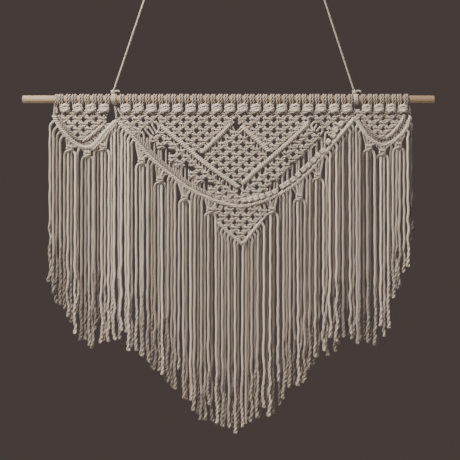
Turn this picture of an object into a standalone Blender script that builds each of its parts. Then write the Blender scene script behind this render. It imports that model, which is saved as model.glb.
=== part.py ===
"""A macrame wall hanging on a wooden dowel, hung by two cords that end in knotted loops.

The front faces -Y and +Z is up. The origin is the hanging point, midway between the tops of the two loops.
The tables give millimetres, x to the right and z up from the dowel's axis; Blender gets metres.
A cloth is drawn as cells in the XZ plane, with a front and a back height above that plane at each point.
"""

import bisect
import math
import random

import bmesh
import bpy
from mathutils import Matrix, Vector
from mathutils.geometry import delaunay_2d_cdt, intersect_point_line

MM = 0.001
GAP = 0.35  # between pieces that touch

# The dowel, and how far its axis lies under the hanging point.
DOWEL_RADIUS = 6.0
DOWEL_LEFT, DOWEL_RIGHT = -343.0, 316.0
DOWEL_CHAMFER = 0.6
DOWEL_DROP = 212.0

# The cords: the thin one of the hanger and the twisted one of the macrame.
HANGER_CORD = 3.0
CORD = 4.0

# The sleeve of lark's heads round the dowel, from its top edge down to the heading knots.
BORE_RADIUS = 6.42
BORE_SIDES = 16
SLEEVE_TOP = 8.2
SLEEVE_DIP = 0.5
SLEEVE_SHOULDER = 4.6
SLEEVE_DEPTH = 7.3
WRAP_PITCH = 10.4

# Half thicknesses of the cloth: net, net knot, half-hitch bar (ridges, the dips between, edges), heading.
NET = 2.3
NET_KNOT = 4.1
BAR_RIDGE, BAR_DIP, BAR_EDGE = 5.6, 3.9, 2.4
HEADING = 7.6
BAR_HALF_WIDTH = 3.2
HITCH = 5.4  # the length of bar that one hitched strand takes
SELVEDGE = 3.1
HOLE_WIDTH, HOLE_HEIGHT = 3.6, 4.2
HOLE_MARGIN = 0.9
NET_ROW, NET_COLUMN = 8.65, 20.8
KNOT_ROOM = 2.4  # clear of a raised knot's middle
SHORT_HOLE = [(0, 0.5), (-0.5, 0), (0, -0.5), (0.5, 0)]
LONG_HOLE = [(0, 0.5), (-0.5, 0.25), (-0.5, -0.25), (0, -0.5), (0.5, -0.25), (0.5, 0.25)]
HEADING_TOP, HEADING_BOTTOM = -8.6, -20.6
HEADING_SHOULDER, HEADING_CREST = 6.2, 3.6

# The half-hitch bars that edge the swags, left to right, as (x, z) of their centre line.
SWAG_LEFT = [
    (-292.8, -25.9), (-283.2, -44.3), (-273.6, -57.1), (-264.0, -66.7), (-254.4, -73.6), (-244.8, -76.8),
    (-235.0, -76.6), (-228.8, -73.1), (-219.2, -62.7), (-209.6, -50.9), (-194.6, -36.0),
]
SWAG_MAIN = [
    (-188.2, -37.0), (-171.2, -54.7), (-139.2, -92.0), (-119.2, -109.9), (-99.2, -126.4), (-79.2, -141.3),
    (-58.5, -152.5), (-37.8, -161.4), (-18.3, -167.4), (0.8, -171.5), (12.4, -170.8), (32.5, -165.8),
    (52.7, -158.9), (72.4, -149.2), (91.9, -136.1), (111.1, -119.5), (126.0, -104.9), (155.2, -68.6),
    (184.6, -34.5),
]
SWAG_RIGHT = [
    (191.8, -34.2), (204.8, -54.7), (214.4, -64.4), (224.0, -70.6), (233.6, -73.1), (243.2, -70.9),
    (252.8, -65.4), (260.8, -58.6), (268.0, -50.2), (273.6, -40.0), (277.4, -27.5),
]
SWAG_POINT = [
    (-29.9, -196.5), (-14.6, -211.8), (1.1, -224.8), (9.3, -230.2), (16.0, -222.8), (24.1, -212.5),
    (40.8, -192.7),
]

# The strands of each swag, in groups: the x on the bar where they start and end, and the x at which they
# first and last hang. The main swag's bar is bare over the small net of the point.
STRANDS_LEFT = [(-291.5, -196.0, -302.0, -193.0)]
STRANDS_MAIN = [(-187.0, -30.0, -192.4, -32.5), (43.5, 183.6, 45.5, 188.2)]
STRANDS_RIGHT = [(193.0, 277.0, 188.6, 281.0)]
STRANDS_POINT = [(-28.9, 6.6, -31.4, 4.4), (6.9, 11.7, 6.6, 12.2), (13.2, 39.9, 16.4, 45.8)]
BARE_MAIN = (-29.0, 42.5)

# Each panel: the sleeve's ends, the heading's first and last knot and how many, its two sides under the
# sleeve from the top down, and the stretch of its swag's bar that it meets.
PANEL_LEFT = {
    "sleeve": (-290.0, -203.2),
    "heading": (-275.4, -212.5, 4),
    "left": [(-291.0, -13.5)],
    "right": [(-203.6, -14.5), (-209.6, -24.0), (-209.4, -33.0), (-207.0, -40.5)],
    "reach": (-293.0, -206.5),
    "border": False,
    "ridged bars": False,
}
PANEL_MAIN = {
    "sleeve": (-188.6, 184.4),
    "heading": (-178.1, 176.0, 18),
    "left": [(-190.2, -13.0), (-191.2, -25.0), (-190.6, -32.0), (-188.2, -35.4)],
    "right": [(187.4, -12.5), (188.8, -24.0), (188.2, -31.2), (184.8, -33.4)],
    "reach": (-188.3, 184.7),
    "border": True,
    "ridged bars": True,
}
PANEL_RIGHT = {
    "sleeve": (198.6, 274.0),
    "heading": (207.5, 265.1, 4),
    "left": [(198.8, -14.0), (199.6, -23.0), (197.0, -29.5)],
    "right": [(274.4, -14.5)],
    "reach": (191.7, 277.5),
    "border": False,
    "ridged bars": False,
}

# The half-hitch bars inside the panels: the wide V, the two legs of the upturned V in it, and the inner bars
# of the small swags.
BARS_MAIN = [
    [(-122.6, -41.0), (-109.6, -53.1), (-86.6, -71.5), (-64.3, -91.5), (-40.6, -109.9), (-16.5, -127.2),
     (1.6, -140.3)],
    [(115.0, -38.0), (98.2, -54.4), (75.2, -75.5), (51.2, -96.3), (27.0, -116.6), (16.0, -128.0),
     (8.4, -134.6)],
    [(-9.6, -39.2), (-27.2, -57.1), (-43.2, -73.1), (-57.0, -85.0)],
    [(7.4, -42.7), (23.2, -57.6), (34.4, -67.0), (50.6, -82.6)],
]
BARS_LEFT = [
    [(-284.6, -25.5), (-278.5, -37.0), (-269.5, -49.0), (-258.7, -61.2), (-247.5, -66.5), (-239.0, -62.5),
     (-227.0, -52.5), (-213.6, -41.0)],
]
BARS_RIGHT = [
    [(200.5, -33.0), (208.0, -44.5), (217.5, -55.0), (228.0, -62.0), (237.0, -62.5), (248.0, -54.5),
     (257.0, -44.0), (264.0, -33.5), (268.0, -25.0)],
]

# Each row of holes in the nets: the first hole's x, the row's z, how many, and the pitch.
NET_LEFT = [
    (-255.2, -24.4, 2, 19.6), (-264.8, -32.8, 3, 19.6), (-255.2, -41.2, 2, 19.6), (-245.4, -49.6, 1, 19.6),
    (-254.6, -54.0, 1, 19.6),
]
NET_MAIN = [
    (-160.0, -25.2, 2, 20.8), (-170.4, -33.1, 2, 20.8), (-160.0, -41.0, 1, 20.8),
    (-116.5, -25.2, 6, 20.8), (-106.1, -33.8, 5, 20.8), (-95.7, -42.4, 4, 20.8), (-85.3, -51.0, 3, 20.8),
    (-74.9, -59.6, 2, 20.8), (-64.5, -68.2, 1, 20.8),
    (7.5, -25.2, 6, 20.8), (17.9, -33.8, 5, 20.8), (28.3, -42.4, 4, 20.8), (38.7, -51.0, 3, 20.8),
    (49.1, -59.6, 2, 20.8), (59.5, -68.2, 1, 20.8),
    (130.4, -25.2, 3, 20.8), (140.8, -33.4, 2, 20.8), (151.2, -41.6, 1, 20.8),
    (-1.0, -64.6, 1, 20.8), (-11.4, -73.3, 2, 20.8), (-21.8, -82.0, 3, 20.8), (-32.2, -90.7, 4, 20.8),
    (-21.4, -99.4, 3, 20.8), (-10.6, -108.1, 2, 20.8), (0.0, -116.8, 1, 20.8),
    (-122.2, -64.2, 1, 20.8), (-91.2, -93.9, 1, 20.8), (-60.2, -120.2, 1, 20.8),
    (-28.2, -143.2, 1, 20.8), (-17.6, -151.2, 1, 20.8), (4.5, -150.4, 1, 20.8),
    (116.8, -61.1, 1, 20.8), (107.2, -70.7, 1, 20.8), (89.6, -88.3, 1, 20.8), (79.8, -98.6, 1, 20.8),
    (59.8, -116.2, 1, 20.8), (31.8, -141.1, 1, 20.8), (22.9, -150.1, 1, 20.8),
]
NET_RIGHT = [
    (207.5, -23.6, 4, 18.2), (215.6, -31.6, 3, 18.2), (224.5, -39.8, 2, 18.2), (233.0, -48.0, 1, 18.2),
]
NET_POINT = [(-13.1, -188.6, 3, 19.0), (-3.6, -198.0, 2, 19.0), (5.9, -207.4, 1, 19.0)]

# The long slits between parted strands: x, z, width, height and the lean of the top to the right, in degrees.
SLITS_LEFT = [(-231.0, -63.4, 3.0, 3.6, 0), (-225.0, -58.2, 3.0, 3.6, 0), (-219.0, -53.0, 3.0, 3.6, 0)]
SLITS_MAIN = [
    (-127.6, -34.0, 4.2, 7.4, -20), (-131.5, -42.6, 4.0, 8.4, -28), (-141.4, -50.0, 4.4, 8.5, -30),
    (-146.4, -59.6, 4.6, 13.6, -22), (-135.5, -71.6, 3.4, 10.5, 0), (-128.6, -80.0, 3.0, 6.5, 0),
    (-117.3, -86.8, 4.4, 15.5, 0), (-110.6, -76.8, 3.4, 6.0, 0), (-105.2, -85.6, 3.2, 7.5, 0),
    (-85.4, -113.0, 3.2, 9.0, 0), (-80.2, -112.2, 3.6, 11.5, 0), (-74.6, -110.8, 3.0, 6.5, 0),
    (-55.6, -136.2, 3.4, 8.0, 0), (-48.8, -133.8, 3.8, 12.5, 0), (-42.2, -132.6, 3.0, 5.5, 0),
    (119.5, -34.0, 4.6, 7.0, 15), (124.8, -40.8, 3.6, 6.5, 28), (131.4, -48.4, 3.2, 6.5, 30),
    (136.6, -56.6, 4.2, 8.0, 15), (143.6, -57.6, 4.2, 6.6, -15), (131.5, -73.5, 4.0, 13.0, 0),
    (122.9, -82.9, 4.6, 15.0, 0), (111.2, -86.7, 4.2, 17.0, 0), (102.8, -97.3, 4.0, 13.0, 0),
    (92.4, -109.3, 3.4, 12.0, 0), (84.8, -110.1, 4.0, 13.5, 0), (77.0, -124.2, 3.6, 8.5, 0),
    (68.8, -131.3, 3.4, 7.5, 0), (55.8, -136.3, 3.8, 11.5, 0), (50.0, -126.4, 3.0, 6.0, 0),
    (-1.1, -36.4, 7.2, 15.0, 0), (181.5, -23.8, 4.4, 7.6, -10), (-184.8, -20.6, 2.6, 9.0, 0),
]

# The single square knots tied in four strands just under a swag: x and z of each.
KNOTS_LEFT = [(-267.5, -81.8), (-239.4, -90.6), (-213.6, -79.6)]
KNOTS_MAIN = [
    (-152.8, -102.5), (-123.2, -132.5), (-83.8, -160.6), (-43.2, -181.6), (56.2, -181.0), (86.4, -161.4),
    (129.1, -126.5),
]
KNOTS_RIGHT = [(210.6, -80.6), (232.5, -88.2), (258.1, -77.1)]
KNOT_HALF_HEIGHT = 4.6
KNOT_PITCH = 4.3
KNOT_RIDGE, KNOT_DIP = 4.8, 2.8

# The strands' tips, as (x, z) of the cut edge, left to right.
CUT_EDGE = [
    (-299, -297), (-288, -320), (-278, -336), (-258, -380), (-237, -388), (-227, -398), (-205, -388),
    (-181, -390), (-155, -412), (-133, -430), (-102, -463), (-82, -480), (-62, -503), (-34, -517),
    (3, -530), (34, -512), (64, -499), (82, -467), (109, -446), (131, -411), (154, -400), (179, -377),
    (198, -389), (227, -389), (238, -371), (251, -343), (258, -302), (279, -254),
]
CUT_RAGGED = 4.0  # how far a tip may stray from the cut edge
STRAND_PITCH = 5.33
STRAND_SWAY = 0.35
STRAND_DEPTH_SWAY = 1.1
STRAND_TURN = 9.0  # how far under the bar a strand has turned to hang straight
SEED = 7

# The hanger: x and z of each leg's ball knot and of its loop's top, and the x of its turns round the dowel.
HANGERS = {
    "left": ((-198.2, 11.4), (-130.7, DOWEL_DROP), -196.2),
    "right": ((188.0, 11.4), (122.8, DOWEL_DROP), 190.6),
}
HANGER_MIDDLE = -3.95
TURNS_HALF_WIDTH = 4.6
BALL_RADIUS = 4.2
LOOP_LENGTH, LOOP_WIDTH = 22.0, 13.0
LOOP_STEPS = 16
TAIL = [(0.0, 0.0), (3.5, 1.6), (7.0, 2.2), (10.5, 0.8)]  # x and z of its centre line from the ball knot

COTTON = (0.62, 0.57, 0.50)
THIN_COTTON = (0.70, 0.66, 0.60)
PALE_WOOD = (0.62, 0.50, 0.36)


def clear_scene():
    for thing in list(bpy.data.objects):
        bpy.data.objects.remove(thing)


def finish(name, colour, roughness):
    material = bpy.data.materials.new(name)
    material.use_nodes = True
    shader = material.node_tree.nodes["Principled BSDF"]
    shader.inputs["Base Color"].default_value = (*colour, 1.0)
    shader.inputs["Roughness"].default_value = roughness
    shader.inputs["Metallic"].default_value = 0.0
    return material


def add_object(name, mesh, material, axis):
    """An object whose millimetre mesh is set on the dowel's axis."""
    mesh.transform(Matrix.Scale(MM, 4))
    mesh.materials.append(material)
    thing = bpy.data.objects.new(name, mesh)
    bpy.context.collection.objects.link(thing)
    thing.parent = axis
    return thing


def mesh_of(name, work):
    bmesh.ops.recalc_face_normals(work, faces=work.faces)
    mesh = bpy.data.meshes.new(name)
    work.to_mesh(mesh)
    work.free()
    return mesh


def hide_guide(thing):
    thing.hide_render = True
    thing.display_type = "WIRE"


def fuse(thing, others):
    """Fuses the others into a piece with Boolean unions, and keeps them as hidden guides."""
    for other in others:
        union = thing.modifiers.new(f"with {other.name}", "BOOLEAN")
        union.operation = "UNION"
        union.object = other
        hide_guide(other)


class Route:
    """A smooth line through the rows of a table, read by the distance along it."""

    STEPS = 8

    def __init__(self, table):
        rows = [Vector(row) for row in table]
        rows = [2 * rows[0] - rows[1], *rows, 2 * rows[-1] - rows[-2]]
        self.dots = []
        for a, b, c, d in zip(rows, rows[1:], rows[2:], rows[3:]):
            for step in range(self.STEPS):
                t = step / self.STEPS
                bend = (2 * a - 5 * b + 4 * c - d) * t**2 + (3 * b - a - 3 * c + d) * t**3
                self.dots.append(b + ((c - a) * t + bend) / 2)
        self.dots.append(rows[-2])
        self.far = [0.0]
        for start, end in zip(self.dots, self.dots[1:]):
            self.far.append(self.far[-1] + (end - start).length)
        self.length = self.far[-1]

    def on_line(self, distance):
        i = min(max(bisect.bisect_right(self.far, distance) - 1, 0), len(self.dots) - 2)
        start, end = self.dots[i], self.dots[i + 1]
        return start.lerp(end, (distance - self.far[i]) / (self.far[i + 1] - self.far[i]))

    def at(self, distance, up=0.0):
        """The point this far along, moved sideways to the upper side of the line."""
        way = (self.on_line(distance + 1) - self.on_line(distance - 1)).normalized()
        return self.on_line(distance) + Vector((-way.y, way.x)) * up

    def distance_at_x(self, x):
        i = min(max(bisect.bisect_right([dot.x for dot in self.dots], x) - 1, 0), len(self.dots) - 2)
        start, end = self.dots[i], self.dots[i + 1]
        return self.far[i] + (end - start).length * (x - start.x) / (end.x - start.x)

    def stations(self, start, end, pitch):
        """Even distances from start to end, about a pitch apart."""
        count = max(round((end - start) / pitch), 1)
        return [start + (end - start) * i / count for i in range(count + 1)]


class Cloth:
    """Cells drawn in the XZ plane, made one closed solid with a front, a back and walls round its edges."""

    def __init__(self):
        self.points = []
        self.cells = []
        self.lines = []

    def point(self, place, front, back=None, middle=0.0):
        """A point with its half thicknesses. A thickness of 0 makes a sharp edge there."""
        self.points.append((place[0], place[1], middle - front, middle + (front if back is None else back)))
        return len(self.points) - 1

    def cell(self, *corners):
        """A face of the drawing, counterclockwise as the front shows it."""
        self.cells.append(corners)

    def fan(self, centre, *ring):
        for a, b in zip(ring, ring[1:]):
            self.cell(centre, a, b)

    def line(self, corners, closed=False):
        self.lines += zip(corners, corners[1:])
        if closed:
            self.lines.append((corners[-1], corners[0]))

    def place(self, index):
        return Vector(self.points[index][:2])

    def clear_of_lines(self, place, margin):
        spot = Vector((*place, 0.0))
        for a, b in self.lines:
            start, end = self.place(a).to_3d(), self.place(b).to_3d()
            near, share = intersect_point_line(spot, start, end)
            near = start.lerp(end, min(max(share, 0.0), 1.0))
            if (near - spot).length < margin:
                return False
        return True

    def clear_of_points(self, place, margin):
        return all(math.dist(place, point[:2]) > margin for point in self.points)

    def fill(self, outline, holes):
        """Fills the outline, less its holes, with triangles that use every point and line drawn so far."""
        flat = [Vector(point[:2]) for point in self.points]
        dots, _, triangles, origin, _, _ = delaunay_2d_cdt(flat, self.lines, [], 0, 1e-4)
        if any(not first for first in origin) or len(dots) != len(flat):
            raise ValueError("two drawn lines cross, or two points are one")
        rings = [[flat[i] for i in ring] for ring in (outline, *holes)]
        for triangle in triangles:
            corners = [origin[i][0] for i in triangle]
            a, b, c = (flat[i] for i in corners)
            middle = (a + b + c) / 3
            if sum(inside(middle, ring) for ring in rings) % 2 == 0:
                continue
            turned = (b - a).cross(c - a) < 0
            self.cell(*(reversed(corners) if turned else corners))

    def mesh(self, name):
        work = bmesh.new()
        fronts, backs = [], []
        for x, z, front, back in self.points:
            fronts.append(work.verts.new((x, front, z)))
            backs.append(fronts[-1] if front == back else work.verts.new((x, back, z)))
        edges = set()
        for cell in self.cells:
            work.faces.new([fronts[i] for i in cell])
            work.faces.new([backs[i] for i in reversed(cell)])
            edges.update(zip(cell, (*cell[1:], cell[0])))
        for a, b in edges:
            if (b, a) in edges:
                continue
            wall = [fronts[b], fronts[a], backs[a], backs[b]]
            wall = [corner for i, corner in enumerate(wall) if corner not in wall[:i]]
            if len(wall) > 2:
                work.faces.new(wall)
        loose = [vert for vert in work.verts if not vert.link_faces]
        bmesh.ops.delete(work, geom=loose, context="VERTS")
        mesh = bpy.data.meshes.new(name)
        work.to_mesh(mesh)
        work.free()
        return mesh


def inside(place, ring):
    """Whether a place lies inside a ring of points."""
    within = False
    for a, b in zip(ring, ring[1:] + ring[:1]):
        crosses = (a.y > place.y) != (b.y > place.y)
        if crosses and place.x < (b.x - a.x) * (place.y - a.y) / (b.y - a.y) + a.x:
            within = not within
    return within


def cut_edge_at(x):
    """The height of the strands' cut edge at this x."""
    for (x0, z0), (x1, z1) in zip(CUT_EDGE, CUT_EDGE[1:]):
        if x <= x1 or x1 == CUT_EDGE[-1][0]:
            return z0 + (z1 - z0) * (x - x0) / (x1 - x0)
    raise ValueError("the table of the cut edge is empty")


# --- The fringes: a ridged half-hitch bar with its strands ---


def plan_strands(route, start_x, end_x, first_x, last_x):
    """Each strand's distance along its bar and the x at which it hangs, evenly spread."""
    count = round((last_x - first_x) / STRAND_PITCH)
    step = (end_x - start_x) / count
    hang = (last_x - first_x) / count
    places = [i + 0.5 for i in range(count)]
    return [(route.distance_at_x(start_x + place * step), first_x + place * hang) for place in places]


def knotted_strands(strands, knots):
    """For each strand in a knot, its x in the knot, the knot's z and its place in it, 0 to 3."""
    found = {}
    for knot_x, knot_z in knots:
        centres = {i: sum(x for _, x in strands[i : i + 4]) / 4 for i in range(len(strands) - 3)}
        first = min(centres, key=lambda i: abs(centres[i] - knot_x))
        for place in range(4):
            found[first + place] = (centres[first] + (place - 1.5) * KNOT_PITCH, knot_z, place)
    return found


def strand(cloth, root, rows, shared):
    """A four-sided strand from its root's three points down its rows. Knotted strands share edge points.

    A row is its centre, half width, half thickness in the middle and at the edges, and its distance in front.
    """
    path = [cloth.place(root[1]), *(row[0] for row in rows)]
    made = [root]
    for i, (centre, width, ridge, edge, middle) in enumerate(rows, 1):
        way = (path[min(i + 1, len(rows))] - path[i - 1]).normalized()
        side = Vector((-way.y, way.x)) * width
        left = shared[i][2] if edge and shared else cloth.point(centre - side, edge, middle=middle)
        right = cloth.point(centre + side, edge, middle=middle)
        made.append((left, cloth.point(centre, ridge, middle=middle), right))
    for (a, b, c), (d, e, f) in zip(made, made[1:]):
        cloth.cell(a, d, e, b)
        cloth.cell(b, e, f, c)
    return made


def bar(cloth, route, stations, roots):
    """A ridged half-hitch bar along a route. Its lower edge has three points where a strand leaves it."""
    half = CORD / 2
    previous = None
    for distance in stations:
        top = cloth.point(route.at(distance, BAR_HALF_WIDTH), NET)
        ridge = cloth.point(route.at(distance), BAR_RIDGE, BAR_RIDGE - 0.6)
        if distance in roots:
            places = ((-half, 0.0), (0.0, half), (half, 0.0))
        else:
            places = ((0.0, 0.0),)
        low = [cloth.point(route.at(distance + place, -BAR_HALF_WIDTH), thick) for place, thick in places]
        if previous:
            last_distance, last_top, last_ridge, last_low = previous
            dip = cloth.point(route.at((last_distance + distance) / 2), BAR_DIP)
            edge = [*last_low[len(last_low) // 2 :], *low[: len(low) // 2 + 1]]
            cloth.fan(dip, ridge, top, last_top, last_ridge, *edge, ridge)
        if distance in roots:
            roots[distance] = low
        previous = distance, top, ridge, low


def fringe(name, swag, knots, axis, material):
    """A swag's bar with its strands, one solid."""
    dice = random.Random(f"{SEED} {name}")
    strands = swag.strands
    cloth = Cloth()
    roots = {distance: None for distance, _ in strands}
    bar(cloth, swag.route, swag.stations, roots)
    knotted = knotted_strands(strands, knots)
    half = CORD / 2
    shared = None
    for i, (distance, x) in enumerate(strands):
        root = swag.route.at(distance, -BAR_HALF_WIDTH)
        outwards = (root - swag.route.at(distance)).normalized()
        depth = dice.uniform(-STRAND_DEPTH_SWAY, STRAND_DEPTH_SWAY)
        tip = Vector((
            x + dice.uniform(-STRAND_SWAY, STRAND_SWAY),
            cut_edge_at(x) + dice.uniform(-CUT_RAGGED, CUT_RAGGED),
        ))
        if i in knotted:
            knot_x, knot_z, place = knotted[i]
            top, low = knot_z + KNOT_HALF_HEIGHT, knot_z - KNOT_HALF_HEIGHT
            rows = [(Vector((knot_x, z)), KNOT_PITCH / 2, KNOT_RIDGE, KNOT_DIP, 0.0) for z in (top, low)]
            rows.append((Vector((x, low - STRAND_TURN)), half, half, 0.0, depth))
            if place == 0:
                shared = None
        else:
            turned = Vector((x, root.y - STRAND_TURN))
            bend = root.lerp(turned, 0.45) + outwards * 1.2
            rows = [(bend, half, half, 0.0, 0.0), (turned, half, half, 0.0, depth / 2)]
            shared = None
        rows.append((tip, half, half, 0.0, depth))
        made = strand(cloth, roots[distance], rows, shared)
        shared = made if i in knotted else None
    return add_object(name, cloth.mesh(name), material, axis)


class Swag:
    """A bar's route, with where its groups of strands leave it and where they hang."""

    def __init__(self, table, groups, bare=()):
        self.route = Route(table)
        self.strands = []
        for group in groups:
            self.strands += plan_strands(self.route, *group)
        stations = {0.0, self.route.length, *(distance for distance, _ in self.strands)}
        if bare:
            start, end = (self.route.distance_at_x(x) for x in bare)
            stations.update(self.route.stations(start, end, HITCH))
        self.stations = sorted(stations)

    def stations_between(self, start_x, end_x):
        start, end = (self.route.distance_at_x(x) for x in (start_x, end_x))
        return [distance for distance in self.stations if start - 0.01 <= distance <= end + 0.01]


# --- The panels: lark's heads round the dowel, heading knots, nets and bars ---


def add_bar(cloth, table, ridged):
    """A half-hitch bar inside a panel: a crest between two edges."""
    route = Route(table)
    stations = route.stations(0.0, route.length, HITCH)
    crest = []
    for i, distance in enumerate(stations):
        height = BAR_EDGE if i in (0, len(stations) - 1) else BAR_DIP if ridged and i % 2 else BAR_RIDGE
        crest.append(cloth.point(route.at(distance), height, height - 0.4))
    cloth.line(crest)
    for side in (BAR_HALF_WIDTH, -BAR_HALF_WIDTH):
        cloth.line([cloth.point(route.at(distance, side), BAR_EDGE) for distance in stations[1:-1:2]])


def add_hole(cloth, x, z, width, height, lean=0.0):
    """A pointed hole, six-sided when long. Returns its ring, or None where a bar covers it."""
    shape = LONG_HOLE if height > 2 * width else SHORT_HOLE
    slope = math.tan(math.radians(lean))
    corners = [(x + side * width + up * height * slope, z + up * height) for side, up in shape]
    if not all(cloth.clear_of_lines(place, HOLE_MARGIN) for place in (*corners, (x, z))):
        return None
    ring = [cloth.point(corner, NET) for corner in corners]
    cloth.line(ring, closed=True)
    return ring


def closed_net(outline):
    """Where an alternating net has its knots, over the whole of an outline."""
    across, down = zip(*outline)
    places = []
    for row in range(int((max(down) - min(down)) / NET_ROW)):
        x = min(across) + NET_COLUMN * (0.25 + 0.5 * (row % 2))
        while x < max(across):
            places.append((x, HEADING_BOTTOM - NET_ROW * (row + 0.5)))
            x += NET_COLUMN
    return places


def add_net(cloth, rows, slits, outline):
    """The slits and the holes of a net, with its raised knots. Returns the holes' rings.

    A net hole has a knot to each side. Where the net is closed, its knots fill the room that is left.
    """
    holes = [add_hole(cloth, *slit) for slit in slits]
    knots = []
    for first_x, z, count, pitch in rows:
        holes += [add_hole(cloth, first_x + i * pitch, z, HOLE_WIDTH, HOLE_HEIGHT) for i in range(count)]
        knots += [(first_x + (i - 0.5) * pitch, z) for i in range(count + 1)]
    ring = [cloth.place(i) for i in outline]
    for knot in knots + closed_net(ring):
        clear = cloth.clear_of_lines(knot, KNOT_ROOM) and cloth.clear_of_points(knot, 1.3 * KNOT_ROOM)
        if clear and inside(Vector(knot), ring):
            cloth.point(knot, NET_KNOT, NET_KNOT - 0.5)
    return [hole for hole in holes if hole]


def add_sleeve(cloth, left, right):
    """The top of a panel: ridged lark's heads over the dowel. Returns its upper outline, left to right."""
    count = 2 * round((right - left) / WRAP_PITCH)
    edge = []
    for i in range(count + 1):
        x = left + (right - left) * i / count
        dip = SLEEVE_DIP * (i % 2 == 0)
        edge.append(cloth.point((x, SLEEVE_TOP - dip), 0.0))
        if 0 < i < count:
            for z in (SLEEVE_SHOULDER, -SLEEVE_SHOULDER):
                cloth.point((x, z), SLEEVE_DEPTH + SLEEVE_DIP - dip)
    shoulders = (SLEEVE_SHOULDER, -SLEEVE_SHOULDER)
    start, end = ([cloth.point((x, z), SLEEVE_DEPTH) for z in shoulders] for x in (left, right))
    return [*reversed(start), *edge, *end]


def add_heading(cloth, first, last, count):
    """The row of chunky knots under the dowel, each with two ridges, and a hollow between two knots."""
    pitch = (last - first) / (count - 1)
    middle = (HEADING_TOP + HEADING_BOTTOM) / 2
    for i in range(count):
        x = first + i * pitch
        for side in (-1, 1):
            cloth.point((x + side * HEADING_SHOULDER, HEADING_TOP), HEADING - 1.6, HEADING - 2.4)
            cloth.point((x + side * HEADING_CREST, middle), HEADING, HEADING - 1.6)
            cloth.point((x + side * HEADING_SHOULDER, HEADING_BOTTOM), HEADING - 2.2, HEADING - 3.0)
        cloth.point((x, middle), HEADING - 1.3, HEADING - 2.6)
        if i < count - 1:
            cloth.point((x + pitch / 2, middle), NET)


def panel(name, plan, swag, bars, rows, slits, axis, material):
    """A knotted panel from the dowel down to its swag's bar, with the dowel's bore cut through its sleeve."""
    cloth = Cloth()
    outline = add_sleeve(cloth, *plan["sleeve"])
    left_side = [cloth.point(place, SELVEDGE) for place in plan["left"]]
    right_side = [cloth.point(place, SELVEDGE) for place in plan["right"]]
    seat = BAR_HALF_WIDTH + GAP
    reach = swag.stations_between(*plan["reach"])
    low = [cloth.point(swag.route.at(distance, seat), NET) for distance in reach]
    outline += [*right_side, *reversed(low), *reversed(left_side)]
    cloth.line(outline, closed=True)
    add_heading(cloth, *plan["heading"])
    if plan["border"]:
        crest = [swag.route.at(distance, seat + BAR_HALF_WIDTH) for distance in reach[1:-1]]
        cloth.line([cloth.point(place, BAR_RIDGE - 0.6, BAR_DIP) for place in crest])
        edge = [swag.route.at(distance, seat + 2 * BAR_HALF_WIDTH) for distance in reach[2:-2:2]]
        cloth.line([cloth.point(place, NET) for place in edge])
    for table in bars:
        add_bar(cloth, table, plan["ridged bars"])
    cloth.fill(outline, add_net(cloth, rows, slits, outline))
    thing = add_object(name, cloth.mesh(name), material, axis)
    ends = (plan["sleeve"][0] - 5.0, plan["sleeve"][1] + 5.0)
    bore = add_round(f"{name} bore", ends, BORE_RADIUS, BORE_SIDES, 0.0, material, axis)
    hide_guide(bore)
    cut = thing.modifiers.new("bore for the dowel", "BOOLEAN")
    cut.operation = "DIFFERENCE"
    cut.object = bore


def point_panel(name, swag, above, ends, rows, axis, material):
    """The small net triangle between the lowest place of the big swag and the bar under it."""
    cloth = Cloth()
    seat = BAR_HALF_WIDTH + GAP
    high = [cloth.point(above.route.at(distance, -seat), NET) for distance in above.stations_between(*ends)]
    low = [cloth.point(swag.route.at(distance, seat), NET) for distance in swag.stations]
    outline = [*high, *reversed(low)]
    cloth.line(outline, closed=True)
    cloth.fill(outline, add_net(cloth, rows, [], outline))
    add_object(name, cloth.mesh(name), material, axis)


# --- The dowel and the hanger ---


def tube(work, rings, closed):
    """Joins rings of corners in order into a tube, closed on itself or with two flat ends."""
    loops = [[work.verts.new(corner) for corner in ring] for ring in rings]
    pairs = zip(loops, loops[1:] + loops[:1]) if closed else zip(loops, loops[1:])
    for a, b in pairs:
        for i in range(len(a)):
            work.faces.new((a[i - 1], a[i], b[i], b[i - 1]))
    if not closed:
        work.faces.new(loops[0])
        work.faces.new(loops[-1])


def circle(sides):
    return [(math.cos(math.tau * i / sides), math.sin(math.tau * i / sides)) for i in range(sides)]


def add_round(name, ends, radius, sides, chamfer, material, axis):
    """A rod along X, with chamfered ends where a chamfer is given."""
    (start, end), small = ends, radius - chamfer
    profile = [(start, small), (start + chamfer, radius), (end - chamfer, radius), (end, small)]
    if not chamfer:
        profile = [(start, radius), (end, radius)]
    work = bmesh.new()
    tube(work, [[(x, r * c, r * s) for c, s in circle(sides)] for x, r in profile], closed=False)
    return add_object(name, mesh_of(name, work), material, axis)


def add_turns(name, x, material, axis):
    """Three turns of thin cord round the dowel, as a ridged ring."""
    ridge, dip = DOWEL_RADIUS + HANGER_CORD, DOWEL_RADIUS + HANGER_CORD / 2 + GAP
    profile = [(-1, BORE_RADIUS), (-1, dip), (-0.67, ridge), (-0.33, dip), (0, ridge)]
    profile += [(0.33, dip), (0.67, ridge), (1, dip), (1, BORE_RADIUS)]
    work = bmesh.new()
    places = [(x + place * TURNS_HALF_WIDTH, r) for place, r in profile]
    rings = [[(place, r * c, r * s) for place, r in places] for c, s in circle(BORE_SIDES)]
    tube(work, rings, closed=True)
    return add_object(name, mesh_of(name, work), material, axis)


def add_ball(name, centre, squash, material, axis):
    work = bmesh.new()
    place = Matrix.Translation(centre) @ Matrix.Diagonal((1.0, squash, 1.0, 1.0))
    bmesh.ops.create_uvsphere(work, u_segments=10, v_segments=7, radius=BALL_RADIUS, matrix=place)
    return add_object(name, mesh_of(name, work), material, axis)


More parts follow.
